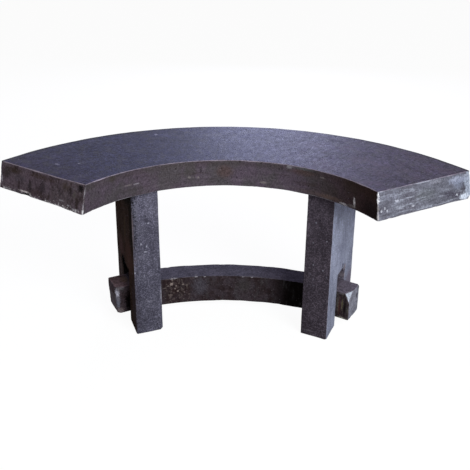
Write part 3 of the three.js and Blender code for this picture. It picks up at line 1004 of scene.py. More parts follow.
def seat_side_tones(finish, seat):
    place = seat.place
    slow = finish.clouds(place, 0.07, detail=4.0)
    smear = finish.clouds(finish.scaled(place, (0.09, 1.0, 1.0)), 0.010, detail=6.0, rough=0.60)
    hairs = finish.clouds(finish.scaled(place, (0.05, 1.0, 1.0)), 0.0036, detail=4.0, rough=0.60)
    colour = finish.blend(finish.band(slow, 0.38, 0.62), tone(84, 78, 82), tone(93, 81, 93))
    colour = finish.blend(finish.band(smear, 0.47, 0.30) * 0.48, colour, tone(58, 49, 47))
    colour = finish.blend(finish.band(smear, 0.57, 0.76) * 0.32, colour, tone(130, 122, 126))
    colour = finish.lit(colour, (hairs - 0.5) * 0.45 + 0.985)
    under_arris = finish.band(seat.height, 0.044, 0.056) * seat.on_inner
    colour = finish.blend(under_arris * 0.28, colour, olive)
    colour = finish.lit(colour, 1 - finish.band(seat.along, -0.20, -0.40) * seat.on_inner * 0.20)
    # Towards its right end the inner face turns away from the lamp, and painted shade darkens it there.
    darker = finish.band(seat.along, 0.14, 0.50) * seat.on_inner
    return finish.blend(darker * 0.82, colour, tone(45, 26, 14))


def seat_left_end_tones(finish, seat, colour):
    place = seat.place
    mottle = finish.clouds(finish.scaled(place, (1.0, 1.0, 0.55)), 0.015, detail=5.0, rough=0.62)
    colour = finish.blend(0.5, finish.lit(colour, 1.42), tone(104, 88, 94))
    colour = finish.blend(finish.band(mottle, 0.50, 0.36) * 0.60, colour, tone(46, 34, 31))
    colour = finish.blend(finish.band(mottle, 0.60, 0.76) * 0.35, colour, tone(112, 100, 108))
    spots = finish.clouds(finish.scaled(place, (1.0, 1.0, 0.7)), 0.0065, detail=3.0, rough=0.6)
    colour = finish.lit(colour, (spots - 0.5) * 1.1 + 1.0)
    return finish.marked(place, colour, left_end_marks)


def seat_right_end_tones(finish, seat):
    place, outward = seat.place, seat.outward
    wiped = finish.clouds(finish.scaled(place, (1.0, 0.11, 1.0)), 0.0065, detail=6.0, rough=0.62)
    bloom = finish.clouds(place, 0.045, detail=4.0)
    colour = finish.blend(finish.band(bloom, 0.35, 0.65), tone(90, 88, 98), tone(118, 119, 131))
    colour = finish.lit(colour, 1 - finish.band(outward, -0.02, 0.05) * 0.20)
    colour = finish.blend(finish.band(wiped, 0.53, 0.68) * 0.62, colour, tone(178, 182, 196))
    colour = finish.blend(finish.band(wiped, 0.47, 0.32) * 0.54, colour, tone(64, 61, 68))
    ragged = finish.clouds(place, 0.016, detail=4.0, rough=0.7)
    far_rim = finish.band(outward + (ragged - 0.5) * 0.05, 0.119, 0.132)
    colour = finish.blend(far_rim * 0.60, colour, tone(188, 198, 216))
    return finish.marked(place, colour, right_end_marks)

# %% [markdown]
# ## Edges of the seat
#
# Rubbed arrises show pale lime. The long inner arris is rubbed in long stretches with gaps between
# them, and the lower ones only in beads. The far edge of the top is in shade and looks nearly
# black, so it is darkened instead. Small pale nicks sit on the upright corners and at the foot of
# the left end.

# %% Edges of the seat
def rub_seat_arrises(finish, seat, lower, colour):
    place, on_inner = seat.place, seat.on_inner
    rubbed = rubbed_arris(finish, place, 0.00008, 0.00022, gaps=-0.06)
    long_gaps = finish.band(finish.clouds(place, 0.09, detail=3.0), 0.40, 0.60)
    beads = finish.band(finish.clouds(place, 0.0090, detail=4.0, rough=0.65), 0.40, 0.58)
    worn = rubbed * (0.70 - on_inner * 0.30 * (1 - long_gaps) - lower * 0.40 * (1 - beads))
    patchy = finish.band(finish.clouds(place, 0.012, detail=4.0), 0.42, 0.60)
    strip = finish.band(seat.height, 0.0618, 0.0640) * patchy * (1 - seat.on_top)
    worn = worn + strip * (0.50 - on_inner * 0.25)
    right_arris = finish.band(seat.along, seat_right - 0.008, seat_right - 0.003)
    worn = worn * (1 - right_arris * (1 - lower) * (0.75 - beads * 0.40))
    behind = finish.band(seat.outward, 0.125, 0.132)
    arris_tone = finish.blend(lower, tone(178, 166, 182), pale)
    arris_tone = finish.blend(seat.on_left_end * (1 - lower), arris_tone, tone(186, 172, 184))
    return finish.blend(worn * (1 - behind), colour, arris_tone)


def nick_seat_ends(finish, seat, lower, colour):
    on_ends = seat.on_left_end + seat.on_right_end
    corner = nicks(finish, seat.place, seat.outward - seat_front, 0.0040) * on_ends * lower
    colour = finish.blend(corner * 0.80, colour, tone(214, 212, 220))
    foot = nicks(finish, seat.place, seat.height - 0.0030, 0.0150) * seat.on_left_end
    return finish.blend(foot * 0.85, colour, tone(236, 230, 232))


def darken_far_edge(finish, seat, colour):
    edge = finish.band(seat.outward, 0.1310, 0.1345) * finish.band(seat.height, 0.058, 0.062)
    colour = finish.blend(edge * 0.92, colour, tone(20, 18, 22))
    beside = finish.band(seat.outward, 0.1230, 0.1300) * seat.on_top
    return finish.blend(beside * 0.45, colour, tone(26, 24, 34))

# %% [markdown]
# ## Finish of the seat
#
# Each web of tones is kept to its face by the direction that the skin looks in. Sand, flecks and
# air holes run over all the faces, and the edges come last. The sealed top is shinier than the
# sides, in patches.

# %% Seat finish
def seat_faces(finish):
    """The skin of the seat, with a mask for each face."""
    seat = cast_skin(finish)
    seat.on_top = finish.band(seat.look_up, 0.45, 0.8)
    seat.on_inner = finish.band(seat.look_out, -0.5, -0.8)
    seat.on_right_end = finish.band(seat.look_along, 0.5, 0.85)
    seat.on_left_end = finish.band(seat.look_along, -0.5, -0.85)
    return seat


def seat_tones(finish, seat):
    sides = seat_side_tones(finish, seat)
    colour = finish.marked(seat.place, sides, inner_marks)
    colour = finish.blend(seat.on_left_end, colour, seat_left_end_tones(finish, seat, sides))
    colour = finish.blend(seat.on_right_end, colour, seat_right_end_tones(finish, seat))
    return finish.blend(seat.on_top, colour, seat_top_tones(finish, seat))


def seat_finish():
    finish = Finish("seat_concrete_sealed")
    seat = seat_faces(finish)
    place, on_top = seat.place, seat.on_top
    grain = sand(finish, place, 0.55, 0.55)
    colour = finish.lit(seat_tones(finish, seat), grain)
    pale_flecks = finish.flecks(place, 0.0055, 0.26)
    colour = finish.blend(pale_flecks * 0.25, colour, tone(156, 154, 170))
    pits = finish.flecks(finish.scaled(place, (1.0, -1.0, 1.0)), 0.010, 0.10)
    colour = finish.blend(pits * (0.50 - on_top * 0.25), colour, tone(30, 25, 25))

    lower = finish.band(seat.height, 0.0610, 0.0570)
    colour = rub_seat_arrises(finish, seat, lower, colour)
    colour = nick_seat_ends(finish, seat, lower, colour)
    colour = darken_far_edge(finish, seat, colour)
    broken = fresh_break(finish) * (0.70 - seat.on_left_end * 0.60)
    colour = finish.blend(broken, colour, tone(212, 212, 220))
    colour = finish.marked(place, colour, corner_marks)

    patches = finish.clouds(finish.scaled(place, (1.0, 0.45, 1.0)), 0.0110, detail=4.0, rough=0.7)
    uneven = (finish.band(seat.along, 0.0, 0.30) * 0.18 + 0.29) * on_top
    rough = 0.80 - on_top * 0.31 + (grain - 1.0) * 0.08 + (patches - 0.5) * uneven
    relief = finish.bump(grain, 0.00025)
    relief = finish.bump(1 - pits, 0.0010, relief)
    return finish.close(Base_Color=colour, Roughness=rough, Normal=relief, Specular_IOR_Level=0.05)


seat_slab.data.materials.append(seat_finish())
print("seat finish nodes:", len(seat_slab.data.materials[0].node_tree.nodes))

# %% [markdown]
# ## Marks on the legs
#
# The legs were never trowelled, so the aggregate shows as a dense rain of small white flecks, with
# a few larger chips that are placed one by one. Faces that look to the right are paler, from weather
# bloom and a painted sheen, and those that look to the left are darker, from mould oil and painted
# shade. The near-black marks on the left face of the left leg, under the seat and at the notch, are
# painted shade. X runs across the thickness of a leg here, Y outwards and Z up.

# %% Marks on the legs
white_chip = tone(196, 196, 212)
left_leg_marks = marks_on(y_axis, leg_front, [
    ((-0.0135, 0.2535), (0.0020, 0.0050), white_chip, 0.70),
    ((0.0009, 0.2450), (0.0026, 0.0036), white_chip, 0.70),
    ((-0.0033, 0.2310), (0.0045, 0.0020), white_chip, 0.65),
    ((0.0072, 0.3065), (0.0030, 0.0030), white_chip, 0.55),
    ((-0.0318, 0.1769), (0.0026, 0.0034), white_chip, 0.70),
    ((0.0030, 0.0900), (0.0120, 0.0030), tone(150, 148, 162), 0.35),
    ((0.0010, 0.0560), (0.0140, 0.0140), tone(52, 50, 60), 0.35),
    ((0.0030, 0.3150), (0.0120, 0.0060), tone(54, 50, 60), 0.35),
    # Painted light at the top corner of the front, under the seat.
    ((-0.0260, 0.3450), (0.0120, 0.0400), tone(132, 130, 146), 0.55),
])
left_leg_marks += marks_on(x_axis, leg_left_face, [
    ((-0.050, 0.195), (0.060, 0.060), tone(96, 70, 64), 0.60),
    ((-0.010, 0.260), (0.010, 0.050), tone(100, 84, 68), 0.60),
    ((0.060, 0.240), (0.020, 0.060), tone(46, 30, 26), 0.60),
    # Painted shade: near black along the top of the left face, under the seat, and down its front edge.
    ((-0.030, 0.375), (0.130, 0.055), tone(4, 3, 3), 0.95),
    ((-0.090, 0.300), (0.026, 0.090), tone(6, 5, 4), 0.85),
])
left_leg_marks += [
    ((leg_left_face, leg_front, 0.290), (0.0044, 0.0044, 0.0600), tone(150, 134, 140), 0.38),
    ((leg_right_face, leg_front, 0.100), (0.0044, 0.0044, 0.0340), tone(190, 186, 196), 0.50),
]
left_leg_marks += marks_on(x_axis, leg_left_face, [
    ((-0.086, 0.080), (0.026, 0.090), tone(62, 52, 56), 0.70),
    # Painted shade at the top of the notch, in the chipped corner.
    ((0.026, 0.156), (0.016, 0.012), tone(8, 7, 6), 0.95),
    ((0.045, 0.182), (0.034, 0.038), tone(100, 76, 76), 0.70),
    ((0.068, 0.108), (0.028, 0.046), tone(104, 92, 92), 0.70),
])
left_leg_marks += [
    # Painted shade inside the notch: on its rear wall and at the top of its front wall.
    ((leg_left_face + 0.004, 0.036, 0.143), (mark_reach, 0.0145, 0.0260), tone(6, 5, 5), 1.0),
    ((leg_left_face, -0.034, 0.150), (mark_reach, 0.010, 0.006), tone(12, 9, 8), 0.80),
]
right_leg_marks = marks_on(y_axis, leg_front, [
    ((-0.0093, 0.3182), (0.0028, 0.0028), white_chip, 0.45),
    ((-0.0140, 0.2638), (0.0024, 0.0024), white_chip, 0.40),
    ((0.0208, 0.2744), (0.0024, 0.0030), white_chip, 0.40),
    ((0.0154, 0.1942), (0.0026, 0.0026), white_chip, 0.45),
    ((-0.0108, 0.2043), (0.0022, 0.0022), white_chip, 0.35),
    ((-0.0150, 0.0150), (0.0100, 0.0026), tone(130, 126, 130), 0.45),
])
right_leg_marks += marks_on(x_axis, leg_right_face, [
    # Painted shade at the top of the notch: in the chip above it and on the top of its rear wall.
    ((0.0100, 0.1580), (0.0080, 0.0100), tone(58, 52, 62), 0.75),
    ((0.0320, 0.1350), (0.0060, 0.0140), tone(52, 46, 56), 0.55),
    ((0.0800, 0.0780), (0.0600, 0.0430), tone(116, 108, 122), 0.90),
    ((0.0340, 0.1180), (0.0070, 0.0090), tone(176, 164, 168), 0.30),
])

# %% [markdown]
# ## Finish of the legs
#
# Each face of a leg has a pair of tones, mixed by slow clouds. Drips run down all of them. The
# flecks come in two sizes, and where they lie dense and where not is left to another cloud.

# %% Leg finish
def leg_tones(finish, leg, tones):
    """A pair of tones for the front, the right, the left and the inside of the notch."""
    shade = finish.band(finish.clouds(leg.place, 0.05, detail=4.0), 0.32, 0.68)
    faces = ("front", "jamb", "right", "left")
    front, jamb, right, left = [finish.blend(shade, *tones[face]) for face in faces]
    # Faces that look to the right are paler: weather bloom and a painted sheen.
    bloom_and_painted_sheen = finish.lit(right, finish.band(leg.height, 0.12, 0.30) * 0.34 + 1.0)
    # Jamb tones on the notch's rear wall: painted shade on the left leg, painted light on the right.
    at_rear = finish.band(leg.outward, 0.0, 0.02) * finish.band(leg.look_out, -0.5, -0.85)
    colour = finish.blend(at_rear, front, jamb)
    colour = finish.blend(leg.on_right, colour, bloom_and_painted_sheen)
    # Faces that look to the left are darker: mould oil and painted shade.
    return finish.blend(leg.on_left, colour, left)


def fleck_leg(finish, leg, colour, strength):
    """Many small white flecks and a few large ones, in dense and thin patches."""
    dense = finish.band(finish.clouds(leg.place, 0.035, detail=3.0), 0.30, 0.62)
    small = finish.flecks(leg.place, 0.0038, 0.50) * (dense * 0.6 + 0.4)
    large = finish.flecks(leg.place, 0.0085, 0.10) * dense
    fleck = (small * 0.5 + large * 0.6) * (1 - leg.on_right * 0.30)
    return finish.blend(fleck * strength, colour, tone(176, 174, 194))


def leg_finish(side, tones, marks, speckle, fleck_strength):
    finish = Finish(f"leg_{side}_concrete")
    leg = cast_skin(finish)
    place, height = leg.place, leg.height
    leg.on_right = finish.band(leg.look_along, 0.5, 0.85)
    leg.on_left = finish.band(leg.look_along, -0.5, -0.85)
    drip = finish.clouds(finish.scaled(place, (1.0, 1.0, 0.18)), 0.009, detail=5.0, rough=0.6)
    colour = leg_tones(finish, leg, tones)
    # Drips darken and lighten at random, and the top of each leg, under the seat, gets painted light.
    colour = finish.lit(colour, (drip - 0.5) * 0.8 + 1.0 + finish.band(height, 0.27, 0.33) * 0.26)
    colour = finish.lit(colour, finish.band(height, 0.10, 0.20) * 0.10 + 1.0)

    grain = finish.band(finish.grains(place, 0.0024), 0.40, 1.0) * speckle + (1 - speckle * 0.32)
    colour = finish.lit(colour, (grain - 1) * (1 - leg.on_right * 0.45) + 1)
    lumps = finish.clouds(place, 0.0080, detail=3.0, rough=0.7)
    colour = finish.lit(colour, (lumps - 0.5) * 0.5 + 1.0)
    colour = fleck_leg(finish, leg, colour, fleck_strength)
    pits = finish.flecks(finish.scaled(place, (1.0, -1.0, 1.0)), 0.0065, 0.12)
    colour = finish.blend(pits * 0.35, colour, tone(28, 23, 26))
    rubbed = rubbed_arris(finish, place, 0.00018, 0.00050)
    colour = finish.blend(rubbed * 0.42, colour, tone(156, 148, 154))
    colour = finish.blend(fresh_break(finish) * 0.4, colour, tone(130, 126, 134))
    colour = finish.marked(place, colour, marks)

    relief = finish.bump(grain, 0.00035)
    relief = finish.bump(1 - pits, 0.0012, relief)
    return finish.close(Base_Color=colour, Roughness=0.88, Normal=relief, Specular_IOR_Level=0.01)


# The right tones hold weather bloom and a painted sheen, the left tones mould oil and painted shade.
left_leg_tones = {
    "front": (tone(83, 81, 95), tone(98, 96, 110)),
    # Painted shade: the notch of this leg lies in shade.
    "jamb": (tone(34, 30, 30), tone(44, 40, 40)),
    "right": (tone(96, 98, 114), tone(118, 122, 140)),
    "left": (tone(47, 33, 27), tone(67, 53, 48)),
}
right_leg_tones = {
    "front": (tone(69, 62, 70), tone(82, 74, 83)),
    # Painted light: the notch of this leg is lit from the right.
    "jamb": (tone(104, 98, 110), tone(122, 115, 128)),
    "right": (tone(128, 131, 150), tone(150, 154, 173)),
    "left": (tone(40, 32, 29), tone(54, 46, 44)),
}
leg_left.data.materials.append(leg_finish("left", left_leg_tones, left_leg_marks, 0.85, 0.70))
leg_right.data.materials.append(leg_finish("right", right_leg_tones, right_leg_marks, 0.9, 0.40))
print("leg finish nodes:", len(leg_left.data.materials[0].node_tree.nodes))

# %% [markdown]
# ## Marks on the stretcher
#
# The stretcher is the darkest casting, nearly black-brown on its front, with a greyer top where
# dust lies, and towards the right leg its front is painted near black as that leg's shadow. Near the
# left leg its face holds a cluster of open air holes in a crust of pale lime.
# Both tongues are scuffed pale where feet and tools have struck them. The rounded upright corner of
# the left tongue carries a painted highlight, and its front beside the left leg is painted black as
# shade.

# %% Marks on the stretcher
crust = tone(172, 156, 148)
rail_marks = marks_on(y_axis, rail_front, [
    ((-0.174, 0.060), (0.0060, 0.0060), crust, 0.90),
    ((-0.172, 0.072), (0.0016, 0.0060), crust, 0.55),
    ((-0.184, 0.055), (0.0050, 0.0018), crust, 0.50),
    ((-0.161, 0.053), (0.0026, 0.0030), crust, 0.60),
    ((-0.142, 0.056), (0.0032, 0.0024), crust, 0.60),
    ((-0.165, 0.045), (0.0028, 0.0026), crust, 0.60),
    ((-0.157, 0.037), (0.0032, 0.0026), crust, 0.70),
    ((-0.131, 0.052), (0.0014, 0.0090), crust, 0.50),
    ((-0.193, 0.050), (0.0070, 0.0013), crust, 0.50),
    ((-0.178, 0.026), (0.0080, 0.0060), crust, 0.25),
    ((-0.094, 0.046), (0.0280, 0.0340), tone(96, 94, 104), 0.40),
    ((0.030, 0.050), (0.0260, 0.0260), tone(84, 84, 84), 0.30),
    ((-0.168, 0.0755), (0.0160, 0.0016), pale, 0.50),
    ((-0.105, 0.0755), (0.0060, 0.0018), pale, 0.60),
    ((-0.080, 0.0750), (0.0040, 0.0016), pale, 0.50),
    ((0.027, 0.0750), (0.0050, 0.0016), pale, 0.45),
    ((0.052, 0.0750), (0.0040, 0.0016), pale, 0.50),
])
rail_marks += [
    ((rail_left + 0.010, rail_front, 0.072), (0.0180, 0.018, 0.0055), tone(120, 118, 120), 0.60),
    # A painted highlight runs down the rounded upright corner of the left tongue.
    ((rail_left + 0.005, rail_front + 0.004, 0.036), (0.0090, 0.0085, 0.028), tone(142, 144, 160), 0.80),
    ((rail_left + 0.004, rail_front + 0.004, 0.060), (0.0085, 0.0085, 0.013), tone(236, 234, 250), 0.90),
    # Painted shade on the tongue's front, in the corner against the left leg.
    ((rail_left + 0.036, rail_front, 0.030), (0.0150, mark_reach, 0.0360), tone(9, 7, 6), 0.95),
    ((rail_left + 0.010, rail_front, 0.008), (0.0140, 0.016, 0.0100), tone(146, 133, 134), 0.85),
]
rail_marks += marks_on(y_axis, rail_front, [
    ((rail_right - 0.018, 0.003), (0.0160, 0.0036), tone(168, 166, 148), 0.70),
    ((rail_right - 0.024, 0.074), (0.0120, 0.0030), tone(130, 124, 128), 0.50),
    ((rail_right - 0.013, 0.036), (0.0050, 0.0280), tone(10, 8, 5), 0.80),
    ((rail_right - 0.028, 0.036), (0.0046, 0.0300), tone(84, 50, 44), 0.55),
    ((rail_right - 0.020, 0.044), (0.0022, 0.0180), tone(120, 112, 76), 0.60),
    ((rail_right - 0.006, 0.028), (0.0030, 0.0140), tone(72, 76, 72), 0.50),
])
rail_marks += marks_on(z_axis, rail_height, [
    ((rail_left + 0.034, 0.004), (0.0120, 0.0200), tone(150, 126, 112), 0.60),
])
rail_marks += marks_on(x_axis, rail_right, [
    ((0.018, 0.050), (0.0060, 0.0110), tone(52, 48, 54), 0.80),
    ((0.026, 0.072), (0.0080, 0.0060), tone(34, 34, 32), 0.80),
    ((-0.014, 0.034), (0.0080, 0.0140), tone(160, 160, 172), 0.50),
])

# %% [markdown]
# ## Finish of the stretcher
#
# The top, the front and the right end each have tones of their own, as the seat has, and so have
# the two tongues outside the legs. The cluster of air holes is kept to one stretch of the front.

# %% Stretcher finish
def rail_tones(finish, rail, shade, smear):
    """The tones of the stretcher's top, front, right end and two tongues."""
    place, along, on_front = rail.place, rail.along, rail.on_front
    on_top = finish.band(rail.look_up, 0.4, 0.85)
    on_right_end = finish.band(rail.look_along, 0.4, 0.85)
    left_tongue = finish.band(along, -0.280, -0.300)
    right_tongue = finish.band(along, 0.275, 0.300)
    colour = finish.blend(shade, tone(50, 39, 40), tone(68, 59, 64))
    dusty = finish.blend(finish.band(along, 0.02, 0.16), tone(88, 84, 96), tone(90, 83, 94))
    dusty = finish.lit(dusty, 1 - right_tongue * 0.22)
    colour = finish.blend(on_top, colour, finish.lit(dusty, shade * 0.3 + 0.85))
    colour = finish.lit(colour, left_tongue * 0.7 + right_tongue * 0.9 + 1.0)
    left_top = finish.blend(shade, tone(106, 87, 89), tone(138, 115, 122))
    colour = finish.blend(left_tongue * on_top, colour, left_top)
    right_end = finish.blend(shade, tone(112, 112, 122), tone(144, 144, 156))
    colour = finish.blend(on_right_end, colour, right_end)
    # Painted shadow of the right leg: the front goes near black towards it.
    darker = finish.band(along, 0.09, 0.16) * on_front * (1 - right_tongue * 0.45)
    colour = finish.blend(darker * 0.95, colour, tone(14, 10, 9))
    colour = finish.blend(finish.band(smear, 0.45, 0.28) * 0.5, colour, tone(30, 22, 20))
    colour = finish.blend(finish.band(smear, 0.58, 0.76) * 0.3, colour, tone(108, 98, 100))
    run = finish.clouds(finish.scaled(place, (1.0, 1.0, 0.3)), 0.012, detail=4.0, rough=0.6)
    colour = finish.blend(finish.band(run, 0.50, 0.66) * on_front * 0.35, colour, tone(78, 76, 78))
    drip = finish.clouds(finish.scaled(place, (1.0, 1.0, 0.2)), 0.005, detail=5.0, rough=0.62)
    streaked = right_tongue * on_front * finish.band(drip, 0.48, 0.68)
    return finish.blend(streaked * 0.75, colour, tone(104, 98, 88))


def break_right_tongue(finish, rail, colour):
    """The flake off the right tongue left a pale cloudy face."""
    at_tip = finish.band(rail.along, 0.30, 0.31)
    above = finish.band(rail.height, 0.030, 0.040)
    flake = fresh_break(finish) * at_tip * above
    cloudy = finish.band(finish.clouds(rail.place, 0.0050, detail=4.0, rough=0.7), 0.35, 0.60)
    return finish.blend(flake * (cloudy * 0.40 + 0.38), colour, tone(218, 228, 242))


def stretcher_finish():
    finish = Finish("stretcher_concrete_dark")
    rail = cast_skin(finish)
    place, along = rail.place, rail.along
    rail.on_front = finish.band(rail.look_out, -0.4, -0.8)
    shade = finish.band(finish.clouds(place, 0.03, detail=5.0), 0.32, 0.68)
    smear = finish.clouds(finish.scaled(place, (0.30, 1.0, 1.0)), 0.008, detail=5.0, rough=0.62)
    colour = rail_tones(finish, rail, shade, smear)

    near_leg = finish.band(along, -0.200, -0.185) * finish.band(along, -0.115, -0.130)
    near_leg = near_leg * rail.on_front
    vein = finish.clouds(place, 0.010, detail=4.0, rough=0.6)
    veins = finish.band(vein, 0.53, 0.56) * finish.band(vein, 0.62, 0.58)
    colour = finish.blend(near_leg * 0.5, colour, tone(46, 33, 31))
    colour = finish.blend(veins * near_leg * 0.18, colour, crust)
    holes = finish.flecks(place, 0.008, 0.35) * near_leg
    colour = finish.blend(holes * 0.5, colour, tone(20, 12, 12))
    colour = finish.marked(place, colour, rail_marks)

    grain = sand(finish, place, 0.62, 0.70)
    colour = finish.lit(colour, grain)
    pale_flecks = finish.flecks(place, 0.0060, 0.16)
    colour = finish.blend(pale_flecks * 0.30, colour, tone(140, 132, 138))
    rubbed = rubbed_arris(finish, place, 0.00050, 0.00110, gaps=0.06)
    colour = finish.blend(rubbed * 0.45, colour, tone(140, 132, 140))
    colour = break_right_tongue(finish, rail, colour)

    relief = finish.bump(grain, 0.0004)
    relief = finish.bump(smear, 0.0005, relief)
    relief = finish.bump(1 - holes, 0.0015, relief)
    return finish.close(Base_Color=colour, Roughness=0.80, Normal=relief, Specular_IOR_Level=0.02)


stretcher.data.materials.append(stretcher_finish())
print("stretcher finish nodes:", len(stretcher.data.materials[0].node_tree.nodes))

# %% [markdown]
# ## Small pieces: pads, plugs and steel
#
# The rubber pads show as a dark line between leg and seat. The mortar plugs show at the back of the
# legs. The steel sits inside the concrete and shows only when the bench is taken apart, but each
# kind still has its own finish: dull zinc with its frosty spangle, and bare bar with a thin brown
# rust.

# %% Pads, plugs and steel
def object_place(finish):
    return finish.node("ShaderNodeTexCoord", output="Object")


def rubber_finish():
    finish = Finish("setting_pad_rubber")
    place = object_place(finish)
    dust = finish.clouds(place, 0.02, detail=4.0)
    grain = finish.clouds(place, 0.001, detail=2.0)
    colour = finish.blend(finish.band(dust, 0.45, 0.7), tone(26, 26, 28), tone(52, 50, 50))
    relief = finish.bump(grain, 0.0002)
    return finish.close(Base_Color=colour, Roughness=0.75 + dust * 0.15, Normal=relief)


def mortar_finish():
    finish = Finish("plug_mortar")
    place = object_place(finish)
    slow = finish.clouds(place, 0.008, detail=4.0)
    grain = sand(finish, place, 0.7, 1.0)
    colour = finish.blend(finish.band(slow, 0.3, 0.7), tone(84, 80, 80), tone(112, 108, 106))
    colour = finish.lit(colour, grain)
    relief = finish.bump(slow, 0.0010, finish.bump(grain, 0.0004))
    return finish.close(Base_Color=colour, Roughness=0.92, Normal=relief, Specular_IOR_Level=0.2)


def zinc_finish():
    finish = Finish("galvanised_zinc")
    place = object_place(finish)
    spangle = finish.grains(place, 0.004)
    dull = finish.clouds(place, 0.012, detail=4.0)
    colour = finish.blend(spangle, tone(150, 155, 160), tone(186, 190, 193))
    colour = finish.blend(finish.band(dull, 0.5, 0.75) * 0.6, colour, tone(206, 208, 206))
    rough = 0.34 + spangle * 0.12 + dull * 0.15
    return finish.close(Base_Color=colour, Roughness=rough, Metallic=0.9)


def rusted_bar_finish():
    finish = Finish("bar_rusted_steel")
    place = object_place(finish)
    rust = finish.clouds(place, 0.018, detail=5.0, rough=0.65)
    scale = finish.clouds(place, 0.003, detail=3.0)
    rusted = finish.band(rust, 0.38, 0.6)
    colour = finish.blend(rusted, tone(92, 92, 96), tone(118, 74, 48))
    colour = finish.blend(finish.band(scale, 0.55, 0.75) * 0.5, colour, tone(70, 44, 34))
    relief = finish.bump(scale, 0.0003)
    rough = 0.55 + rusted * 0.3
    bare = 0.8 - rusted * 0.6
    return finish.close(Base_Color=colour, Roughness=rough, Metallic=bare, Normal=relief)


mortar = mortar_finish()
for piece in plugs:
    piece.data.materials.append(mortar)
zinc = zinc_finish()
carried_finishes = {
    "setting_pad": rubber_finish(),
    "dowel": zinc,
    "ferrule": zinc,
    "stretcher_pin": zinc,
    "": rusted_bar_finish(),
}
own_skins = ("seat_slab", "leg_left", "leg_right", "stretcher", "pin_plug_left", "pin_plug_right")
carried = [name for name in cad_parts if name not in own_skins]
for name in carried:
    kind = next(start for start in carried_finishes if name.startswith(start))
    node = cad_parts[name]
    node.data.materials.clear()
    node.data.materials.append(carried_finishes[kind])
print("pieces with a carried finish:", len(carried))

# %% [markdown]
# ## Studio
#
# A white studio lights the bench: one broad soft lamp stands in front and to the right, and a
# second behind gives the sealed seat its sheen. The camera sees the floor as white, because part of
# the floor's shader glows for it, and the rest still takes light and shadow, so that the bench
# stands on something. The light that reaches the bench from the floor comes from a greyer paint,
# which keeps its shaded faces dark.

# %% Floor and backdrop
def is_seen(finish):
    """One for what the camera sees, straight or through a mirror or a glass."""
    rays = ("Is Camera Ray", "Is Glossy Ray", "Is Transmission Ray")
    camera, glossy, glass = [finish.node("ShaderNodeLightPath", output=name) for name in rays]
    return camera + glossy + glass


pure_white = (1.0, 1.0, 1.0, 1.0)
paint_shade = 0.45
glow_share = 0.78
light_on_floor = 0.55
glow_strength = (1 - (1 - glow_share) * paint_shade * light_on_floor) / glow_share


def floor_finish():
    finish = Finish("studio_floor")
    grey_paint = (paint_shade, paint_shade, paint_shade, 1.0)
    paint = finish.node("ShaderNodeBsdfDiffuse", None, {"Color": grey_paint})
    glow = finish.node("ShaderNodeEmission", None, {"Color": pure_white, "Strength": glow_strength})
    shares = {0: is_seen(finish) * glow_share, 1: paint, 2: glow}
    return finish.shaded_by(finish.node("ShaderNodeMixShader", None, shares))


floor_reach = 30.0
corners = [(x * floor_reach, y * floor_reach, 0) for x, y in ((-1, -1), (1, -1), (1, 1), (-1, 1))]
floor = new_mesh_piece("floor", corners, [(0, 1, 2, 3)])
floor.data.materials.append(floor_finish())

studio = Finish("studio", "worlds", "ShaderNodeOutputWorld")
dim_white = {"Color": (0.95, 0.93, 0.95, 1.0), "Strength": 0.20}
room = studio.node("ShaderNodeBackground", None, dim_white)
white = studio.node("ShaderNodeBackground", None, {"Color": pure_white, "Strength": 1.0})
sky = studio.node("ShaderNodeMixShader", None, {0: is_seen(studio), 1: room, 2: white})
bpy.context.scene.world = studio.shaded_by(sky)

# %% [markdown]
# ## Lamps
#
# The strength of a soft lamp is worked out from the brightness that it should give. A lamp of P
# watts at a distance d lights a white wall to P / (pi * d) ** 2, so each lamp states that share and
# its distance.

# %% Lamps
lamp_aim = Vector((0, 0, 0.3))


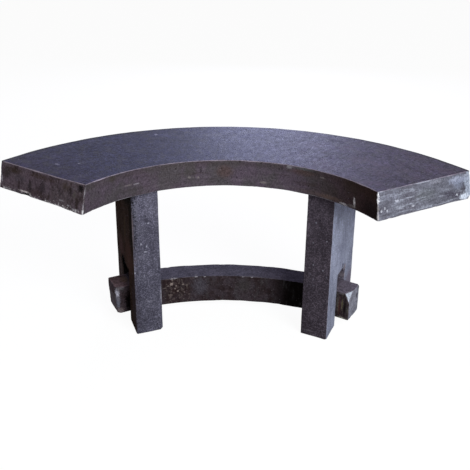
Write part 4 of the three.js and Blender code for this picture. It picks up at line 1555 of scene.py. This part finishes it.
def soft_lamp(name, azimuth, elevation, distance, width, share, colour):
    """A square soft lamp. Azimuth 0 stands in front of the bench and 90 to its right."""
    turn, rise = math.radians(azimuth), math.radians(elevation)
    level = math.cos(rise)
    direction = Vector((math.sin(turn) * level, -math.cos(turn) * level, math.sin(rise)))
    data = bpy.data.lights.new(name, "AREA")
    data.size = width
    data.energy = share * (math.pi * distance) ** 2
    data.color = colour
    lamp = bpy.data.objects.new(name, data)
    lamp.location = lamp_aim + direction * distance
    lamp.rotation_mode = "QUATERNION"
    lamp.rotation_quaternion = direction.to_track_quat("Z", "Y")
    lamp.visible_camera = False
    bpy.context.scene.collection.objects.link(lamp)


cool_white = (0.94, 0.97, 1.0)
sky_blue = (0.62, 0.66, 1.0)
soft_lamp("key", azimuth=38, elevation=32, distance=3.2, width=1.6, share=0.85, colour=cool_white)
soft_lamp("sheen", azimuth=177, elevation=20, distance=3.0, width=0.9, share=0.38, colour=sky_blue)

# %% [markdown]
# ## Camera
#
# The photograph was taken from standing height, a little to the right of the middle, and cropped
# off-centre. The lens shift repeats that crop. Place, turn and lens were found by matching the
# outline of the bench.

# %% Camera
camera_place = Vector((0.05584, -1.11271 + pit_y, 0.99546))
camera_yaw = -0.03429
camera_pitch = 0.35997
camera_roll = 0.00958
picture_width = 470
focal_pixels = 659.0
middle_x, middle_y = 235.5, 167.4

ahead = Vector((
    math.sin(camera_yaw) * math.cos(camera_pitch),
    math.cos(camera_yaw) * math.cos(camera_pitch),
    -math.sin(camera_pitch),
))
level_right = Vector((math.cos(camera_yaw), -math.sin(camera_yaw), 0))
level_up = level_right.cross(ahead)
right = math.cos(camera_roll) * level_right + math.sin(camera_roll) * level_up
up = -math.sin(camera_roll) * level_right + math.cos(camera_roll) * level_up

camera_data = bpy.data.cameras.new("camera")
camera_data.sensor_width = 36
camera_data.lens = focal_pixels / picture_width * camera_data.sensor_width
camera_data.shift_x = (picture_width / 2 - middle_x) / picture_width
camera_data.shift_y = (middle_y - picture_width / 2) / picture_width
camera_data.clip_start = 0.05
camera_data.clip_end = 100
camera = bpy.data.objects.new("camera", camera_data)
camera.matrix_world = Matrix((
    (right.x, up.x, -ahead.x, camera_place.x),
    (right.y, up.y, -ahead.y, camera_place.y),
    (right.z, up.z, -ahead.z, camera_place.z),
    (0, 0, 0, 1),
))
bpy.context.scene.collection.objects.link(camera)
bpy.context.scene.camera = camera
bpy.context.scene.view_settings.view_transform = "Standard"
